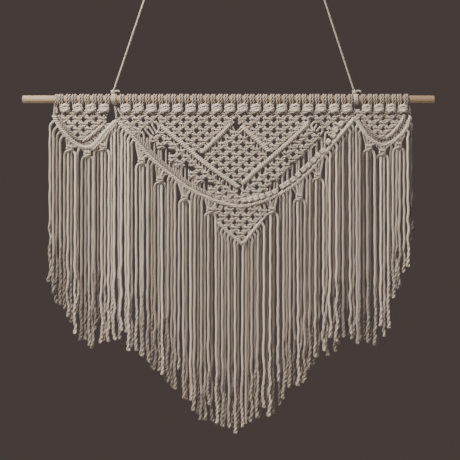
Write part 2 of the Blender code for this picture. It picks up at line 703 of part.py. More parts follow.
def add_cord_piece(name, path, closed, material, axis):
    """A short six-sided length of the thin cord along points that lie in a plane square to Y."""
    rings = []
    for i, place in enumerate(path):
        after = path[(i + 1) % len(path)] if closed or i < len(path) - 1 else place
        before = path[i - 1] if closed or i else place
        out = (after - before).cross(Vector((0.0, 1.0, 0.0))).normalized()
        rings.append([place + HANGER_CORD / 2 * (out * c + Vector((0.0, s, 0.0))) for c, s in circle(6)])
    work = bmesh.new()
    tube(work, rings, closed)
    return add_object(name, mesh_of(name, work), material, axis)


def add_taut_cord(name, start, end, material, axis):
    """The plain round solid of a taut cord, with a point every few diameters."""
    curve = bpy.data.curves.new(name, "CURVE")
    curve.dimensions = "3D"
    curve.bevel_depth = HANGER_CORD / 2 * MM
    curve.bevel_resolution = 2
    curve.use_fill_caps = True
    spline = curve.splines.new("POLY")
    count = round((end - start).length / (3 * HANGER_CORD))
    spline.points.add(count)
    for i, point in enumerate(spline.points):
        point.co = (*(start.lerp(end, i / count) * MM), 1.0)
    curve.materials.append(material)
    thing = bpy.data.objects.new(name, curve)
    bpy.context.collection.objects.link(thing)
    thing.parent = axis


def hanger_leg(side, ball, loop_top, turns_x, material, axis):
    """One leg of the hanger: turns and knot on the dowel, the taut cord, and the knotted loop at its top."""
    foot = Vector((ball[0], 0.0, ball[1]))
    top = Vector((loop_top[0], 0.0, loop_top[1]))
    way = (top - foot).normalized()
    knot = top - way * (LOOP_LENGTH + HANGER_CORD / 2)

    turns = add_turns(f"hanger_knot_{side}", turns_x, material, axis)
    tail = [foot + Vector((x, 0.0, z)) for x, z in TAIL]
    tail_piece = add_cord_piece(f"tail {side}", tail, False, material, axis)
    fuse(turns, [add_ball(f"ball {side}", foot, 0.85, material, axis), tail_piece])

    seat = way * (BALL_RADIUS + GAP)
    add_taut_cord(f"hanger_cord_{side}", foot + seat, knot - seat, material, axis)

    loop = add_ball(f"hanger_loop_{side}", knot, 0.9, material, axis)
    across = Vector((way.z, 0.0, -way.x))
    bend = []
    for i in range(LOOP_STEPS):
        turn = math.tau * i / LOOP_STEPS
        wide = LOOP_WIDTH / 2 * math.sin(turn) * math.sin(turn / 2) ** 0.6
        bend.append(knot + way * LOOP_LENGTH * (1 - math.cos(turn)) / 2 + across * wide)
    fuse(loop, [add_cord_piece(f"bend {side}", bend, True, material, axis)])


def main():
    clear_scene()
    cotton = finish("cotton cord", COTTON, 0.9)
    thin_cotton = finish("thin cotton cord", THIN_COTTON, 0.9)
    wood = finish("pale wood", PALE_WOOD, 0.6)
    axis = bpy.data.objects.new("dowel axis", None)
    axis.location = Vector((-HANGER_MIDDLE, 0.0, -DOWEL_DROP)) * MM
    bpy.context.collection.objects.link(axis)

    add_round("dowel", (DOWEL_LEFT, DOWEL_RIGHT), DOWEL_RADIUS, 24, DOWEL_CHAMFER, wood, axis)
    for side, (ball, loop_top, turns_x) in HANGERS.items():
        hanger_leg(side, ball, loop_top, turns_x, thin_cotton, axis)

    left = Swag(SWAG_LEFT, STRANDS_LEFT)
    main_swag = Swag(SWAG_MAIN, STRANDS_MAIN, BARE_MAIN)
    right = Swag(SWAG_RIGHT, STRANDS_RIGHT)
    point = Swag(SWAG_POINT, STRANDS_POINT)
    fringe("fringe_left", left, KNOTS_LEFT, axis, cotton)
    fringe("fringe_main", main_swag, KNOTS_MAIN, axis, cotton)
    fringe("fringe_right", right, KNOTS_RIGHT, axis, cotton)
    fringe("fringe_point", point, [], axis, cotton)

    panel("panel_left", PANEL_LEFT, left, BARS_LEFT, NET_LEFT, SLITS_LEFT, axis, cotton)
    panel("panel_main", PANEL_MAIN, main_swag, BARS_MAIN, NET_MAIN, SLITS_MAIN, axis, cotton)
    panel("panel_right", PANEL_RIGHT, right, BARS_RIGHT, NET_RIGHT, [], axis, cotton)
    point_panel("panel_point", point, main_swag, (-29.5, 43.0), NET_POINT, axis, cotton)


if __name__ == "__main__":
    main()
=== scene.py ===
"""A macrame wall hanging on a wooden dowel: every cord, knot and bar of it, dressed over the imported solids.

The tables give millimetres, x to the right and z up from the dowel's axis, and the height f above the cloth's
middle plane, towards the front. Blender gets metres. A cord is drawn as a line of rows (x, z, f), and
Geometry Nodes sweep a twisted three-ply profile along it.
"""

import bisect
import math
import random
from functools import partial

import bpy
from bpy.props import FloatProperty, PointerProperty, StringProperty
from mathutils import Matrix, Vector

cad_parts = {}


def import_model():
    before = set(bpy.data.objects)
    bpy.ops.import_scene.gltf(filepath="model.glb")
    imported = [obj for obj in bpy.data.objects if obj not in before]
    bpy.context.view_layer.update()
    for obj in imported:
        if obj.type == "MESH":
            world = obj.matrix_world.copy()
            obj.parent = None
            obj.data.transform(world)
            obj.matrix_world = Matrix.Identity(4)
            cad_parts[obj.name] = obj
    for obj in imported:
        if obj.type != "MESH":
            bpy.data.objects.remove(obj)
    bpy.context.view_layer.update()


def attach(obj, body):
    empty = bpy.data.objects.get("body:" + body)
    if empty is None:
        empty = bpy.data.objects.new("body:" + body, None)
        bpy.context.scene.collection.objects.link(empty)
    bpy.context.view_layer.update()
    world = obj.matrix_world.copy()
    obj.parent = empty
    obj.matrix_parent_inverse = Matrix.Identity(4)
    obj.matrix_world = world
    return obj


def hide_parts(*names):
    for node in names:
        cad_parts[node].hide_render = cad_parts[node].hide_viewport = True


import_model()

bl_info = {
    "name": "Macrame Wall Hanging",
    "version": (1, 0, 0),
    "blender": (4, 5, 0),
    "location": "3D View > Sidebar > Macrame",
    "description": "Ties a macrame wall hanging of twisted cotton cord on a wooden dowel",
    "category": "Add Mesh",
}

MM = 0.001
AXIS_X, AXIS_Z = 3.95, -212.0  # the dowel's axis from the hanging point
SEED = 7

# --- The swags and their fringes ---

# The half-hitch bars that edge the swags, left to right, as (x, z) of their centre line.
SWAGS = {
    "left": [
        (-292.8, -25.9), (-283.2, -44.3), (-273.6, -57.1), (-264.0, -66.7), (-254.4, -73.6), (-244.8, -76.8),
        (-235.0, -76.6), (-228.8, -73.1), (-219.2, -62.7), (-209.6, -50.9), (-194.6, -36.0),
    ],
    "main": [
        (-188.2, -37.0), (-171.2, -54.7), (-139.2, -92.0), (-119.2, -109.9), (-99.2, -126.4), (-79.2, -141.3),
        (-58.5, -152.5), (-37.8, -161.4), (-18.3, -167.4), (0.8, -171.5), (12.4, -170.8), (32.5, -165.8),
        (52.7, -158.9), (72.4, -149.2), (91.9, -136.1), (111.1, -119.5), (126.0, -104.9), (155.2, -68.6),
        (184.6, -34.5),
    ],
    "right": [
        (191.8, -34.2), (204.8, -54.7), (214.4, -64.4), (224.0, -70.6), (233.6, -73.1), (243.2, -70.9),
        (252.8, -65.4), (260.8, -58.6), (268.0, -50.2), (273.6, -40.0), (277.4, -27.5),
    ],
    "point": [
        (-29.9, -196.5), (-14.6, -211.8), (1.1, -224.8), (9.3, -230.2), (16.0, -222.8), (24.1, -212.5),
        (40.8, -192.7),
    ],
}
# The strands of each swag, in groups: the x on the bar where they start and end, and the x at which they
# first and last hang. The main swag's bar is bare over the small net of the point.
STRANDS = {
    "left": [(-291.5, -196.0, -302.0, -193.0)],
    "main": [(-187.0, -30.0, -192.4, -32.5), (43.5, 183.6, 45.5, 188.2)],
    "right": [(193.0, 277.0, 188.6, 281.0)],
    "point": [(-28.9, 6.6, -31.4, 4.4), (6.9, 11.7, 6.6, 12.2), (13.2, 39.9, 16.4, 45.8)],
}
# The single square knots tied in four strands just under a swag, as (x, z).
KNOTS = {
    "left": [(-267.5, -81.8), (-239.4, -90.6), (-213.6, -79.6)],
    "main": [
        (-152.8, -102.5), (-123.2, -132.5), (-83.8, -160.6), (-43.2, -181.6), (56.2, -181.0), (99.6, -159.5),
        (129.1, -126.5),
    ],
    "right": [(210.6, -80.6), (232.5, -88.2), (258.1, -77.1)],
    "point": [],
}
KNOT_RISE = 3.2  # from the table's place to the middle of a knot
KNOT_HANG = (-8.6, -2.5, 2.5, 9.2)  # where its four strands hang, from its middle
KNOT_STRANDS = 2.5  # between those strands inside it
KNOT_FORM = (1.6, 0.0, 0.95, 1.2, 1.15)  # its height above the cloth, slant, width, depth and height
# The strands' tips, as (x, z) of the cut edge, left to right.
CUT_EDGE = [
    (-299, -297), (-288, -320), (-278, -336), (-258, -380), (-237, -388), (-227, -398), (-205, -388),
    (-181, -390), (-155, -412), (-133, -430), (-102, -463), (-82, -480), (-62, -503), (-34, -517), (3, -530),
    (34, -512), (64, -499), (82, -467), (109, -446), (131, -411), (154, -400), (179, -377), (198, -389),
    (227, -389), (238, -371), (251, -343), (258, -302), (279, -254),
]
POINT_STRAND = [(14.2, -222.0, -1.6), (14.2, -380.0, -1.9), (14.2, -519.0, -1.6)]  # behind the point's tip

STRAND_PITCH = 5.33
STRAND_STEP = 6.0  # between the rows of a strand
ROOT_DROP = 3.2  # from the middle of a bar to the place where a strand leaves it
STRAIGHT_FROM = 12.0  # a strand hangs straight from this far under its bar or its knot
ROOT_BEND = (4.0, 3.0, 0.45)  # its bend at the bar: outwards, down, and the share of the way to its x
KNOT_IN, KNOT_OUT, KNOT_UNDER = 4.2, 3.8, 6.0  # from a knot's middle to where it enters, leaves and turns
KNOT_BEND = 0.65  # how much of the way to its x it has gone there
STRAND_DEPTH = 1.7  # every other strand lies this far in front of the middle plane, the rest behind it
LOOSE_END = 150.0  # the lowest part of a strand, which waves most
WAVE, WAVE_LENGTH = (0.5, 2.4), (34.0, 86.0)  # of its long waves and of its short kinks, how far and how long
KINK, KINK_LENGTH = (0.2, 0.7), (15.0, 28.0)
LEAN = 1.8  # how far a strand may hang aside at its tip
UNEVEN = 5.0  # how far the tips are out of line
SHORT_SHARE, SHORTER = 0.17, (12.0, 42.0)  # how many strands end higher, and by how much
STRAND_TONE, BEHIND_SHADE = (-1.3, 1.2), 0.45  # darker above nought, and by how much painted shade darkens a strand behind and lightens one in front
FRINGE_TONE = -0.3  # the whole fringe's, on top of both
UNLAID = (25.0, 105.0)  # the least and most of a strand's end that comes unlaid
UNLAID_PITCH = (13.0, 22.0)  # in which its two halves go once round
UNLAID_REACH, UNLAID_SIZE, UNLAID_STEP = 1.25, 0.68, 2.6  # how far they open, their size and the rows' step
UNLAID_SHADE = 0.6  # how much darker they are, as painted shade towards the bottom

# --- The bars inside the panels ---

# The half-hitch bars: the wide V and the two legs of the upturned V in it, and the small swags' inner bars.
BARS = {
    "left": [
        [
            (-284.6, -25.5), (-278.5, -37.0), (-269.5, -49.0), (-258.7, -61.2), (-247.5, -66.5),
            (-239.0, -62.5), (-227.0, -52.5), (-213.6, -41.0),
        ],
    ],
    "main": [
        [
            (-122.6, -41.0), (-109.6, -53.1), (-86.6, -71.5), (-64.3, -91.5), (-40.6, -109.9),
            (-16.5, -127.2), (1.6, -140.3),
        ],
        [
            (115.0, -38.0), (98.2, -54.4), (75.2, -75.5), (51.2, -96.3), (27.0, -116.6), (16.0, -128.0),
            (8.4, -134.6),
        ],
        [(-9.6, -39.2), (-27.2, -57.1), (-43.2, -73.1), (-57.0, -85.0)],
        [(7.4, -42.7), (23.2, -57.6), (34.4, -67.0), (50.6, -82.6)],
    ],
    "right": [
        [
            (200.5, -33.0), (208.0, -44.5), (217.5, -55.0), (228.0, -62.0), (237.0, -62.5), (248.0, -54.5),
            (257.0, -44.0), (264.0, -33.5), (268.0, -25.0),
        ],
    ],
}
CRESTS = {"left": (-190.4, -34.7), "right": (184.0, -29.9)}  # where two swags' bars meet under a hanger
BAR_STEP = 6.0  # between the points of a bar's line
DOUBLE_FROM, DOUBLE_DROP = -233.0, 4.4  # the left swag's bar is double from this x, by this much

# --- The nets ---

NET_COLUMN, NET_ROW = 20.8, 8.65  # between the knots of the main net, across and down
# The holes in the band of knots under the wide V's right leg, as (x, z).
BAND_RIGHT_HOLES = [
    (116.8, -61.1), (107.2, -70.7), (89.6, -88.3), (79.8, -98.6), (59.8, -116.2), (50.4, -125.1),
    (31.8, -141.1), (22.9, -150.1),
]
# The upper and the lower row of knots under its left leg, as (x, z).
BAND_UPPER = [
    (-122.4, -56.0), (-112.0, -66.2), (-101.3, -75.2), (-91.2, -85.1), (-81.1, -93.9), (-70.4, -102.7),
    (-60.0, -111.5), (-49.6, -120.0), (-38.4, -128.3), (-27.5, -137.1), (-16.8, -144.3),
]
BAND_LOWER = [
    (-132.8, -64.6), (-122.4, -74.7), (-101.6, -93.8), (-91.5, -102.6), (-70.4, -120.2), (-60.0, -128.6),
    (-37.9, -145.8), (-27.2, -153.0),
]
POINT_CORNERS = [(-31.0, -179.0), (41.0, -181.0)]  # the outermost knots of the point's net
# Each net's columns and rows apart, and its rows of holes: the first hole's x, the row's z and how many.
NETS = {
    "left": (19.6, 8.4, [
        (-255.2, -24.4, 2), (-264.8, -32.8, 3), (-255.2, -41.2, 2), (-245.4, -49.6, 1), (-254.6, -54.0, 1),
    ]),
    "main": (NET_COLUMN, NET_ROW, [
        *((x, z, 1) for x, z in BAND_RIGHT_HOLES),
        (-160.0, -25.2, 2), (-170.4, -33.1, 2), (-160.0, -41.0, 1), (-116.5, -25.2, 6), (-106.1, -33.8, 5),
        (-95.7, -42.4, 4), (-85.3, -51.0, 3), (-74.9, -59.6, 2), (-64.5, -68.2, 1), (7.5, -25.2, 6),
        (17.9, -33.8, 5), (28.3, -42.4, 4), (38.7, -51.0, 3), (49.1, -59.6, 2), (59.5, -68.2, 1),
        (130.4, -25.2, 3), (140.8, -33.4, 2), (151.2, -41.6, 1), (-1.0, -64.6, 1), (-11.4, -73.3, 2),
        (-21.8, -82.0, 3), (-32.2, -90.7, 4), (-21.4, -99.4, 3), (-10.6, -108.1, 2), (0.0, -116.8, 1),
        (-122.2, -64.2, 1), (-91.2, -93.9, 1), (-60.2, -120.2, 1), (-28.2, -143.2, 1), (-17.6, -151.2, 1),
        (4.5, -150.4, 1),
    ]),
    "right": (18.2, 8.1, [
        (207.5, -23.6, 4), (215.6, -31.6, 3), (224.5, -39.8, 2), (233.0, -48.0, 1),
    ]),
    "point": (19.0, 9.4, [
        (-13.1, -188.6, 3), (-3.6, -198.0, 2), (5.9, -207.4, 1),
    ]),
}
# The long slits between parted strands: x, z, width, height and the lean of the top to the right, in degrees.
SLITS = [
    (-127.6, -34.0, 4.2, 7.4, -20), (-131.5, -42.6, 4.0, 8.4, -28), (-141.4, -50.0, 4.4, 8.5, -30),
    (-146.4, -59.6, 4.6, 13.6, -22), (-135.5, -71.6, 3.4, 10.5, 0), (-128.6, -80.0, 3.0, 6.5, 0),
    (-117.3, -86.8, 4.4, 15.5, 0), (-110.6, -76.8, 3.4, 6.0, 0), (-105.2, -85.6, 3.2, 7.5, 0),
    (-85.4, -113.0, 3.2, 9.0, 0), (-80.2, -112.2, 3.6, 11.5, 0), (-74.6, -110.8, 3.0, 6.5, 0),
    (-55.6, -136.2, 3.4, 8.0, 0), (-48.8, -133.8, 3.8, 12.5, 0), (-42.2, -132.6, 3.0, 5.5, 0),
    (119.5, -34.0, 4.6, 7.0, 15), (124.8, -40.8, 3.6, 6.5, 28), (131.4, -48.4, 3.2, 6.5, 30),
    (136.6, -56.6, 4.2, 8.0, 15), (143.6, -57.6, 4.2, 6.6, -15), (131.5, -73.5, 4.0, 13.0, 0),
    (122.9, -82.9, 4.6, 15.0, 0), (111.2, -86.7, 4.2, 17.0, 0), (102.8, -97.3, 4.0, 13.0, 0),
    (92.4, -109.3, 3.4, 12.0, 0), (84.8, -110.1, 4.0, 13.5, 0), (77.0, -124.2, 3.6, 8.5, 0),
    (68.8, -131.3, 3.4, 7.5, 0), (55.8, -136.3, 3.8, 11.5, 0), (50.0, -126.4, 3.0, 6.0, 0),
    (-1.1, -36.4, 7.2, 15.0, 0), (181.5, -23.8, 4.4, 7.6, -10), (-184.8, -20.6, 2.6, 9.0, 0),
]
# The small gaps between the strands that leave the lower sides of the two Vs: under the left and the right
# leg of the wide one, then of the upturned one.
GAPS = [
    [
        (-114.2, -55.7), (-108.2, -60.6), (-103.4, -65.8), (-97.3, -69.3), (-92.3, -74.6), (-87.0, -78.6),
        (-82.2, -83.5), (-77.4, -87.2), (-72.3, -91.7), (-68.3, -95.5), (-63.0, -100.3), (-57.9, -104.3),
        (-52.8, -108.3), (-47.7, -112.0), (-41.6, -116.3), (-36.0, -120.3), (-30.4, -125.0), (-24.6, -128.5),
        (-20.0, -133.3), (-14.1, -136.5), (-8.3, -141.3), (-2.1, -142.7),
    ],
    [
        (107.7, -54.1), (98.2, -62.7), (87.8, -71.8), (80.2, -80.8), (70.6, -89.6), (61.4, -98.2),
        (51.5, -106.9), (41.6, -115.2), (33.1, -122.1), (22.7, -130.6), (13.6, -139.7), (4.5, -147.8),
    ],
    [
        (-7.6, -48.1), (-12.7, -54.9), (-23.0, -64.3), (-28.1, -67.7), (-32.4, -72.0), (-37.5, -76.3),
        (-41.8, -81.4), (-46.9, -84.8), (-52.9, -90.8),
    ],
    [
        (4.3, -47.2), (9.5, -54.1), (15.4, -57.5), (19.7, -63.4), (25.7, -66.9), (29.9, -72.0), (35.1, -75.4),
        (39.3, -80.5), (43.6, -84.8), (48.7, -89.9),
    ],
]
EVERY_GAP = [gap for gaps in GAPS for gap in gaps]
GAPS_APART = 12.0  # between the furthest neighbours in a row of gaps
GAP_REACH, GAP_STRAND = 2.6, 0.56  # the gaps' half-size, and the size of a strand between two of them
KNOT_APART = 6.5  # nearer places are one knot
KNOT_CLEAR = 4.2  # from a gap to the middle of a knot
BAR_CLEAR = 5.0  # from a knot to the middle of a bar
HEADING_LOW = -20.0  # no net knot shows over this
LEGS = ((6.5, 2.8), (3.9, 5.9))  # where a knot's legs are half-way to the next knot
LEG_LIFT, LEG_SIZE = 2.4, 0.88  # how far forward its legs lie there, and their size
LEG_BACK = (0.25, 0.45)  # how far back towards the middle of a whole knot and of a bare one they start
LEG_REACH = 15.0  # how far a leg may run on to a bar
LEG_INTO = 3.0  # or up behind the heading's lower edge
NET_CORD = {"Ring spacing": 1.8 * MM, "Diameter": 3.5 * MM}

# --- The loose strands of the panels ---

# The strands that lean from the corners' nets to the bands under the wide V.
LEANING = [
    [(-7.0, -44.0), (-5.0, -49.0), (-3.0, -54.5)],
    [(5.5, -46.0), (3.6, -50.0), (1.5, -54.5)],
    [(-126.1, -29.7), (-121.5, -37.6), (-120.2, -46.9)],
    [(-131.4, -33.7), (-127.4, -39.0), (-124.8, -48.2)],
    [(-137.4, -37.6), (-132.7, -46.2), (-128.8, -52.9)],
    [(-141.3, -43.6), (-136.7, -50.2), (-132.7, -56.2)],
    [(-147.9, -46.9), (-142.7, -53.5), (-137.4, -60.1)],
    [(-151.9, -50.9), (-149.3, -56.2), (-148.6, -64.1)],
    [(124.7, -35.3), (119.8, -40.2), (118.4, -47.2)],
    [(127.9, -40.2), (125.1, -44.8), (122.6, -49.4)],
    [(133.2, -43.7), (130.0, -48.0), (126.9, -52.2)],
    [(138.1, -48.7), (134.6, -55.0), (131.8, -57.8)],
    [(142.3, -52.2), (140.9, -58.5), (140.2, -67.0)],
    [(134.6, -61.3), (135.3, -65.6), (135.7, -69.8)],
]
LEANING_SIZE = 0.78  # of the cord, as those strands are stretched
# The single strands at the sides of the main panel and of its neighbours, as (x, z).
SIDES = {
    "left": [
        [(-290.7, -8.5), (-291.5, -16.0), (-293.0, -26.4)],
        [(-288.5, -9.3), (-288.3, -15.0), (-287.8, -21.9)],
        [(-278.8, -19.7), (-279.0, -23.0), (-279.2, -26.0)],
        [(-275.0, -19.7), (-275.1, -24.0), (-275.2, -28.0)],
        [(-271.3, -19.7), (-271.0, -25.0), (-270.5, -30.0)],
        [(-207.8, -22.4), (-210.8, -26.4), (-211.5, -31.0)],
    ],
    "main": [
        [(-195.6, -10.5), (-193.9, -17.8), (-192.3, -31.0)],
        [(-191.0, -13.8), (-186.3, -21.8), (-181.7, -29.0)],
        [(186.0, -10.6), (188.1, -19.1), (189.9, -25.4)],
    ],
    "right": [
        [(198.3, -18.4), (198.3, -24.0), (200.8, -30.3)],
        [(274.0, -9.6), (275.5, -15.0), (276.6, -23.5)],
        [(271.5, -11.3), (273.0, -18.0), (273.9, -26.0)],
    ],
}
# The wings are the strands between the bands of knots and the big swag's bar.
WING_PITCH = 4.1
WING_REACH = 26.0  # how far they go on beyond a band of knots
WING_TOP = -57.0  # the slits over this aren't in a wing
WING_LEAST = 5.0  # the shortest one that is drawn
WING_IN = (3.0, 2.0)  # how far they go up into the band and end over the bar's middle
WING_SIZE, WING_THIN = 0.85, 0.6  # their size, and how thin a narrow bank of them may get
FILLING = ((4.9, 1.3), (7.4, 0.9))  # the cords between a small swag's two bars: how far up, and their darker tone, which is painted shade
FILL_FROM, FILL_TO = 0.08, {"left": 0.62, "right": 0.6}  # the shares of the bar that they lie over
CROSS_FROM = {"left": -238.0, "right": 236.0}  # x of the first pair of strands that cross between the bars
CROSS_PITCH, CROSS_PAIR = 9.1, 3.7  # between the pairs, and between the two of a pair
CROSS_END = 4.0  # from the last pair to the end of the bar
EDGE_STRANDS = (-289.3, -286.4)  # x of the two over the dowel at its left end
EDGE_SIZE = 0.8  # of the cord, as they are pressed together

# The short knots in a row above the right half of the big swag's bar.
BORDER_RIGHT = [
    (11.2, -161.1), (20.8, -160.3), (30.4, -157.9), (40.0, -155.5), (51.2, -151.5), (60.6, -147.7),
    (73.0, -139.0), (80.5, -134.1), (89.4, -128.3), (97.8, -121.0), (105.9, -112.6), (113.4, -106.1),
    (122.6, -97.9), (129.1, -90.4), (136.5, -83.0), (145.6, -68.2), (153.8, -58.2), (157.1, -50.1),
    (165.4, -40.2),
]
BORDER_KNOT = (0.62, 0.6, 0.5)  # their width, depth and height
BORDER_CORDS = (7.7, 5.3)  # from its left half to the two cords over it

# --- The headings, the dowel and the hanger ---

DOWEL_RADIUS, DOWEL_CHAMFER, DOWEL_SIDES = 6.0, 0.7, 48
DOWEL_LEFT, DOWEL_RIGHT = -343.0, 316.0
TURN_RADIUS = DOWEL_RADIUS + 0.9  # of the strands over the dowel
# Each panel's heading: its first and last knot and how many.
HEADINGS = {"left": (-275.4, -212.5, 4), "main": (-178.1, 176.0, 18), "right": (207.5, 265.1, 4)}
HEADING_PITCH = 20.83  # for which the heading's knots are drawn
HEADING_Z, HEADING_F, HEADING_SLANT = -14.4, 1.4, -14.0  # of its berry knots, the slant in degrees
# The hanger: x and z of each leg's ball knot and of its loop's top, and the x of its turns round the dowel.
HANGERS = {
    "left": ((-198.2, 11.4), (-130.7, 212.0), -196.2),
    "right": ((188.0, 11.4), (122.8, 212.0), 190.6),
}
HANGER_CORD = 3.0
# The thin cord's colours; its painted crease shade mixes towards the darker one.
THIN_LIGHT, THIN_DARK = "#e6ddd0", "#9d8b7a"
LEG_POINTS, LOOP_POINTS, BALL_POINTS, TURN_POINTS = 24, 24, 12, 14
HANGER_TURNS, TURNS_HALF_WIDTH = 3, 4.6
BALL_RADIUS = 4.2
TAIL = [(0.0, 0.0), (3.5, 1.6), (7.0, 2.2), (10.5, 0.8)]  # x and z of its centre line from the ball knot
LOOP_LENGTH, LOOP_WIDTH = 22.0, 13.0
GAP = 0.35  # between pieces that touch


# --- Settings that a user would change ---


LengthProperty = partial(FloatProperty, unit="LENGTH", precision=4)
HexProperty = partial(StringProperty, description="Its colour, as an sRGB hex value")


class CordSettings(bpy.types.PropertyGroup):
    diameter: LengthProperty(name="Cord diameter", default=4.0 * MM, min=2.0 * MM, max=6.0 * MM)
    lay: LengthProperty(name="Lay", description="In which a ply goes once round", default=15.6 * MM)
    ring: LengthProperty(name="Ring spacing", description="Between the points along a cord", default=2.0 * MM)
    colour: HexProperty(name="Cotton", default="#f0e3d3")
    # The colour that the cotton mixes towards: the painted shade in the creases, the darker fibres and the
    # darker tones.
    shade: HexProperty(name="Cotton in the creases", default="#51443a")


class DowelSettings(bpy.types.PropertyGroup):
    colour: HexProperty(name="Wood", default="#b19d83")
    # The grain's colour, which the painted shade towards the rod's right end also mixes towards.
    grain: HexProperty(name="Darker grain", default="#8c7358")


# --- Lines ---


def world(x, z, f=0.0):
    """A row of a table as a point in metres."""
    return Vector(((x + AXIS_X) * MM, -f * MM, (z + AXIS_Z) * MM))


def lifted(line, f):
    """A line of (x, z) as rows at one height."""
    return [(x, z, f) for x, z in line]


def height_at(line, x, level=True):
    """The z of a line of (x, z) at an x. Beyond its ends it stays level or goes on as it ends."""
    line = sorted(line)
    i = min(max(bisect.bisect_left([row[0] for row in line], x) - 1, 0), len(line) - 2)
    (x0, z0), (x1, z1) = line[i : i + 2]
    share = (x - x0) / (x1 - x0)
    return z0 + (z1 - z0) * (min(max(share, 0.0), 1.0) if level else share)


def nearest_on(line, place):
    """The point of a line of (x, z) that is nearest to a place."""
    dots = []
    for start, end in zip(line, line[1:]):
        start, way = Vector(start), Vector(end) - Vector(start)
        dots.append(start + way * min(max((place - start).dot(way) / way.length_squared, 0.0), 1.0))
    return min(dots, key=lambda dot: (dot - place).length)


def halves(line):
    """A line of (x, z) as far as its lowest place, and from there on."""
    low = min(range(len(line)), key=lambda i: line[i][1])
    return line[: low + 1], line[low:]


class Route:
    """A smooth line through the rows of a table, read by the distance along it."""

    STEPS = 8

    def __init__(self, table):
        rows = [Vector(row) for row in table]
        rows = [2 * rows[0] - rows[1], *rows, 2 * rows[-1] - rows[-2]]
        self.dots = []
        for a, b, c, d in zip(rows, rows[1:], rows[2:], rows[3:]):
            for step in range(self.STEPS):
                t = step / self.STEPS
                bend = (2 * a - 5 * b + 4 * c - d) * t**2 + (3 * b - a - 3 * c + d) * t**3
                self.dots.append(b + ((c - a) * t + bend) / 2)
        self.dots.append(rows[-2])
        self.far = [0.0]
        for start, end in zip(self.dots, self.dots[1:]):
            self.far.append(self.far[-1] + (end - start).length)
        self.length = self.far[-1]

    def on_line(self, distance):
        i = min(max(bisect.bisect_right(self.far, distance) - 1, 0), len(self.dots) - 2)
        start, end = self.dots[i], self.dots[i + 1]
        return start.lerp(end, (distance - self.far[i]) / (self.far[i + 1] - self.far[i]))

    def way(self, distance):
        return (self.on_line(distance + 1) - self.on_line(distance - 1)).normalized()

    def at(self, distance, up=0.0):
        """The point this far along, moved sideways to the upper side of the line."""
        way = self.way(distance)
        return self.on_line(distance) + Vector((-way.y, way.x)) * up

    def evenly(self, count, up=0.0, first=0.0, last=1.0):
        """Evenly spaced points from one share of the length to another."""
        return [self.at(self.length * (first + (last - first) * i / count), up) for i in range(count + 1)]

    def distance_at_x(self, x):
        i = min(max(bisect.bisect_right([dot.x for dot in self.dots], x) - 1, 0), len(self.dots) - 2)
        start, end = self.dots[i], self.dots[i + 1]
        return self.far[i] + (end - start).length * (x - start.x) / (end.x - start.x)


class Skein:
    """Cords drawn as lines of points, with each point's size and tone and each cord's turn of the plies."""

    def __init__(self, name):
        self.name = name
        self.dice = random.Random(f"{SEED} {name}")
        self.points, self.edges, self.sizes, self.tones, self.turns = [], [], [], [], []

    def lay(self, line, size=1.0, tone=None):
        """Lays one cord along rows (x, z, f), of one size or of a list of sizes."""
        first = len(self.points)
        tone = self.dice.uniform(-0.5, 0.5) if tone is None else tone
        turn = self.dice.uniform(0.0, math.tau)
        self.points += [(x * MM, -f * MM, z * MM) for x, z, f in line]
        self.edges += [(i - 1, i) for i in range(first + 1, len(self.points))]
        self.sizes += size if isinstance(size, list) else [size] * len(line)
        self.tones += [tone] * len(line)
        self.turns += [turn] * len(line)

    def mesh(self, moved=True):
        mesh = bpy.data.meshes.new(self.name)
        mesh.from_pydata(self.points, self.edges, [])
        if moved:
            mesh.transform(Matrix.Translation(world(0.0, 0.0)))
        for key, values in (("size", self.sizes), ("tone", self.tones), ("turn", self.turns)):
            mesh.attributes.new(key, "FLOAT", "POINT").data.foreach_set("value", values)
        return mesh


# --- Nodes ---


def add_node(tree, kind, inputs=(), output=0, **settings):
    """Adds a node with its settings, and its inputs set to values or linked. Returns one of its outputs."""
    made = tree.nodes.new(kind)
    for key, value in settings.items():
        setattr(made, key, value)
    for key, value in inputs.items() if isinstance(inputs, dict) else enumerate(inputs):
        if isinstance(value, bpy.types.NodeSocket):
            tree.links.new(value, made.inputs[key])
        else:
            made.inputs[key].default_value = value
    return made.outputs[output] if len(made.outputs) else None


CORD_INPUTS = [
    ("Diameter", "NodeSocketFloat", 4.0 * MM),
    ("Lay", "NodeSocketFloat", 15.6 * MM),
    ("Ring spacing", "NodeSocketFloat", 2.0 * MM),
    ("Cotton", "NodeSocketMaterial", None),
]
OWN_INPUTS = {
    "tied knots": [("Pattern", "NodeSocketObject", None)],
    "wrapped bars": [
        ("Wrap pitch", "NodeSocketFloat", 3.7 * MM),
        ("Half width", "NodeSocketFloat", 2.0 * MM),
        ("Half depth", "NodeSocketFloat", 2.9 * MM),
        ("Slant", "NodeSocketFloat", 0.9 * MM),
    ],
}
PLIES = 3
SIDES_ROUND = 9  # of a cord
PLY_DEPTH = 0.34  # of the cord's radius, from the middle radius to a crease


def tree_of(fill):
    """The tree that a function fills, made once and then found by its name."""
    name = fill.__name__.replace("_", " ")
    if name in bpy.data.node_groups:
        return bpy.data.node_groups[name]
    tree = bpy.data.node_groups.new(name, "GeometryNodeTree")
    for way in ("INPUT", "OUTPUT"):
        tree.interface.new_socket("Geometry", in_out=way, socket_type="NodeSocketGeometry")
    for label, kind, default in [*OWN_INPUTS.get(name, []), *CORD_INPUTS]:
        socket = tree.interface.new_socket(label, in_out="INPUT", socket_type=kind)
        if default is not None:
            socket.default_value = default
    node = partial(add_node, tree)
    given = node("NodeGroupInput").node.outputs
    whole = node("GeometryNodeRealizeInstances", {"Geometry": fill(node, given)})
    done = node("GeometryNodeSetMaterial", {"Geometry": whole, "Material": given["Cotton"]})
    node("NodeGroupOutput", {"Geometry": done})
    return tree


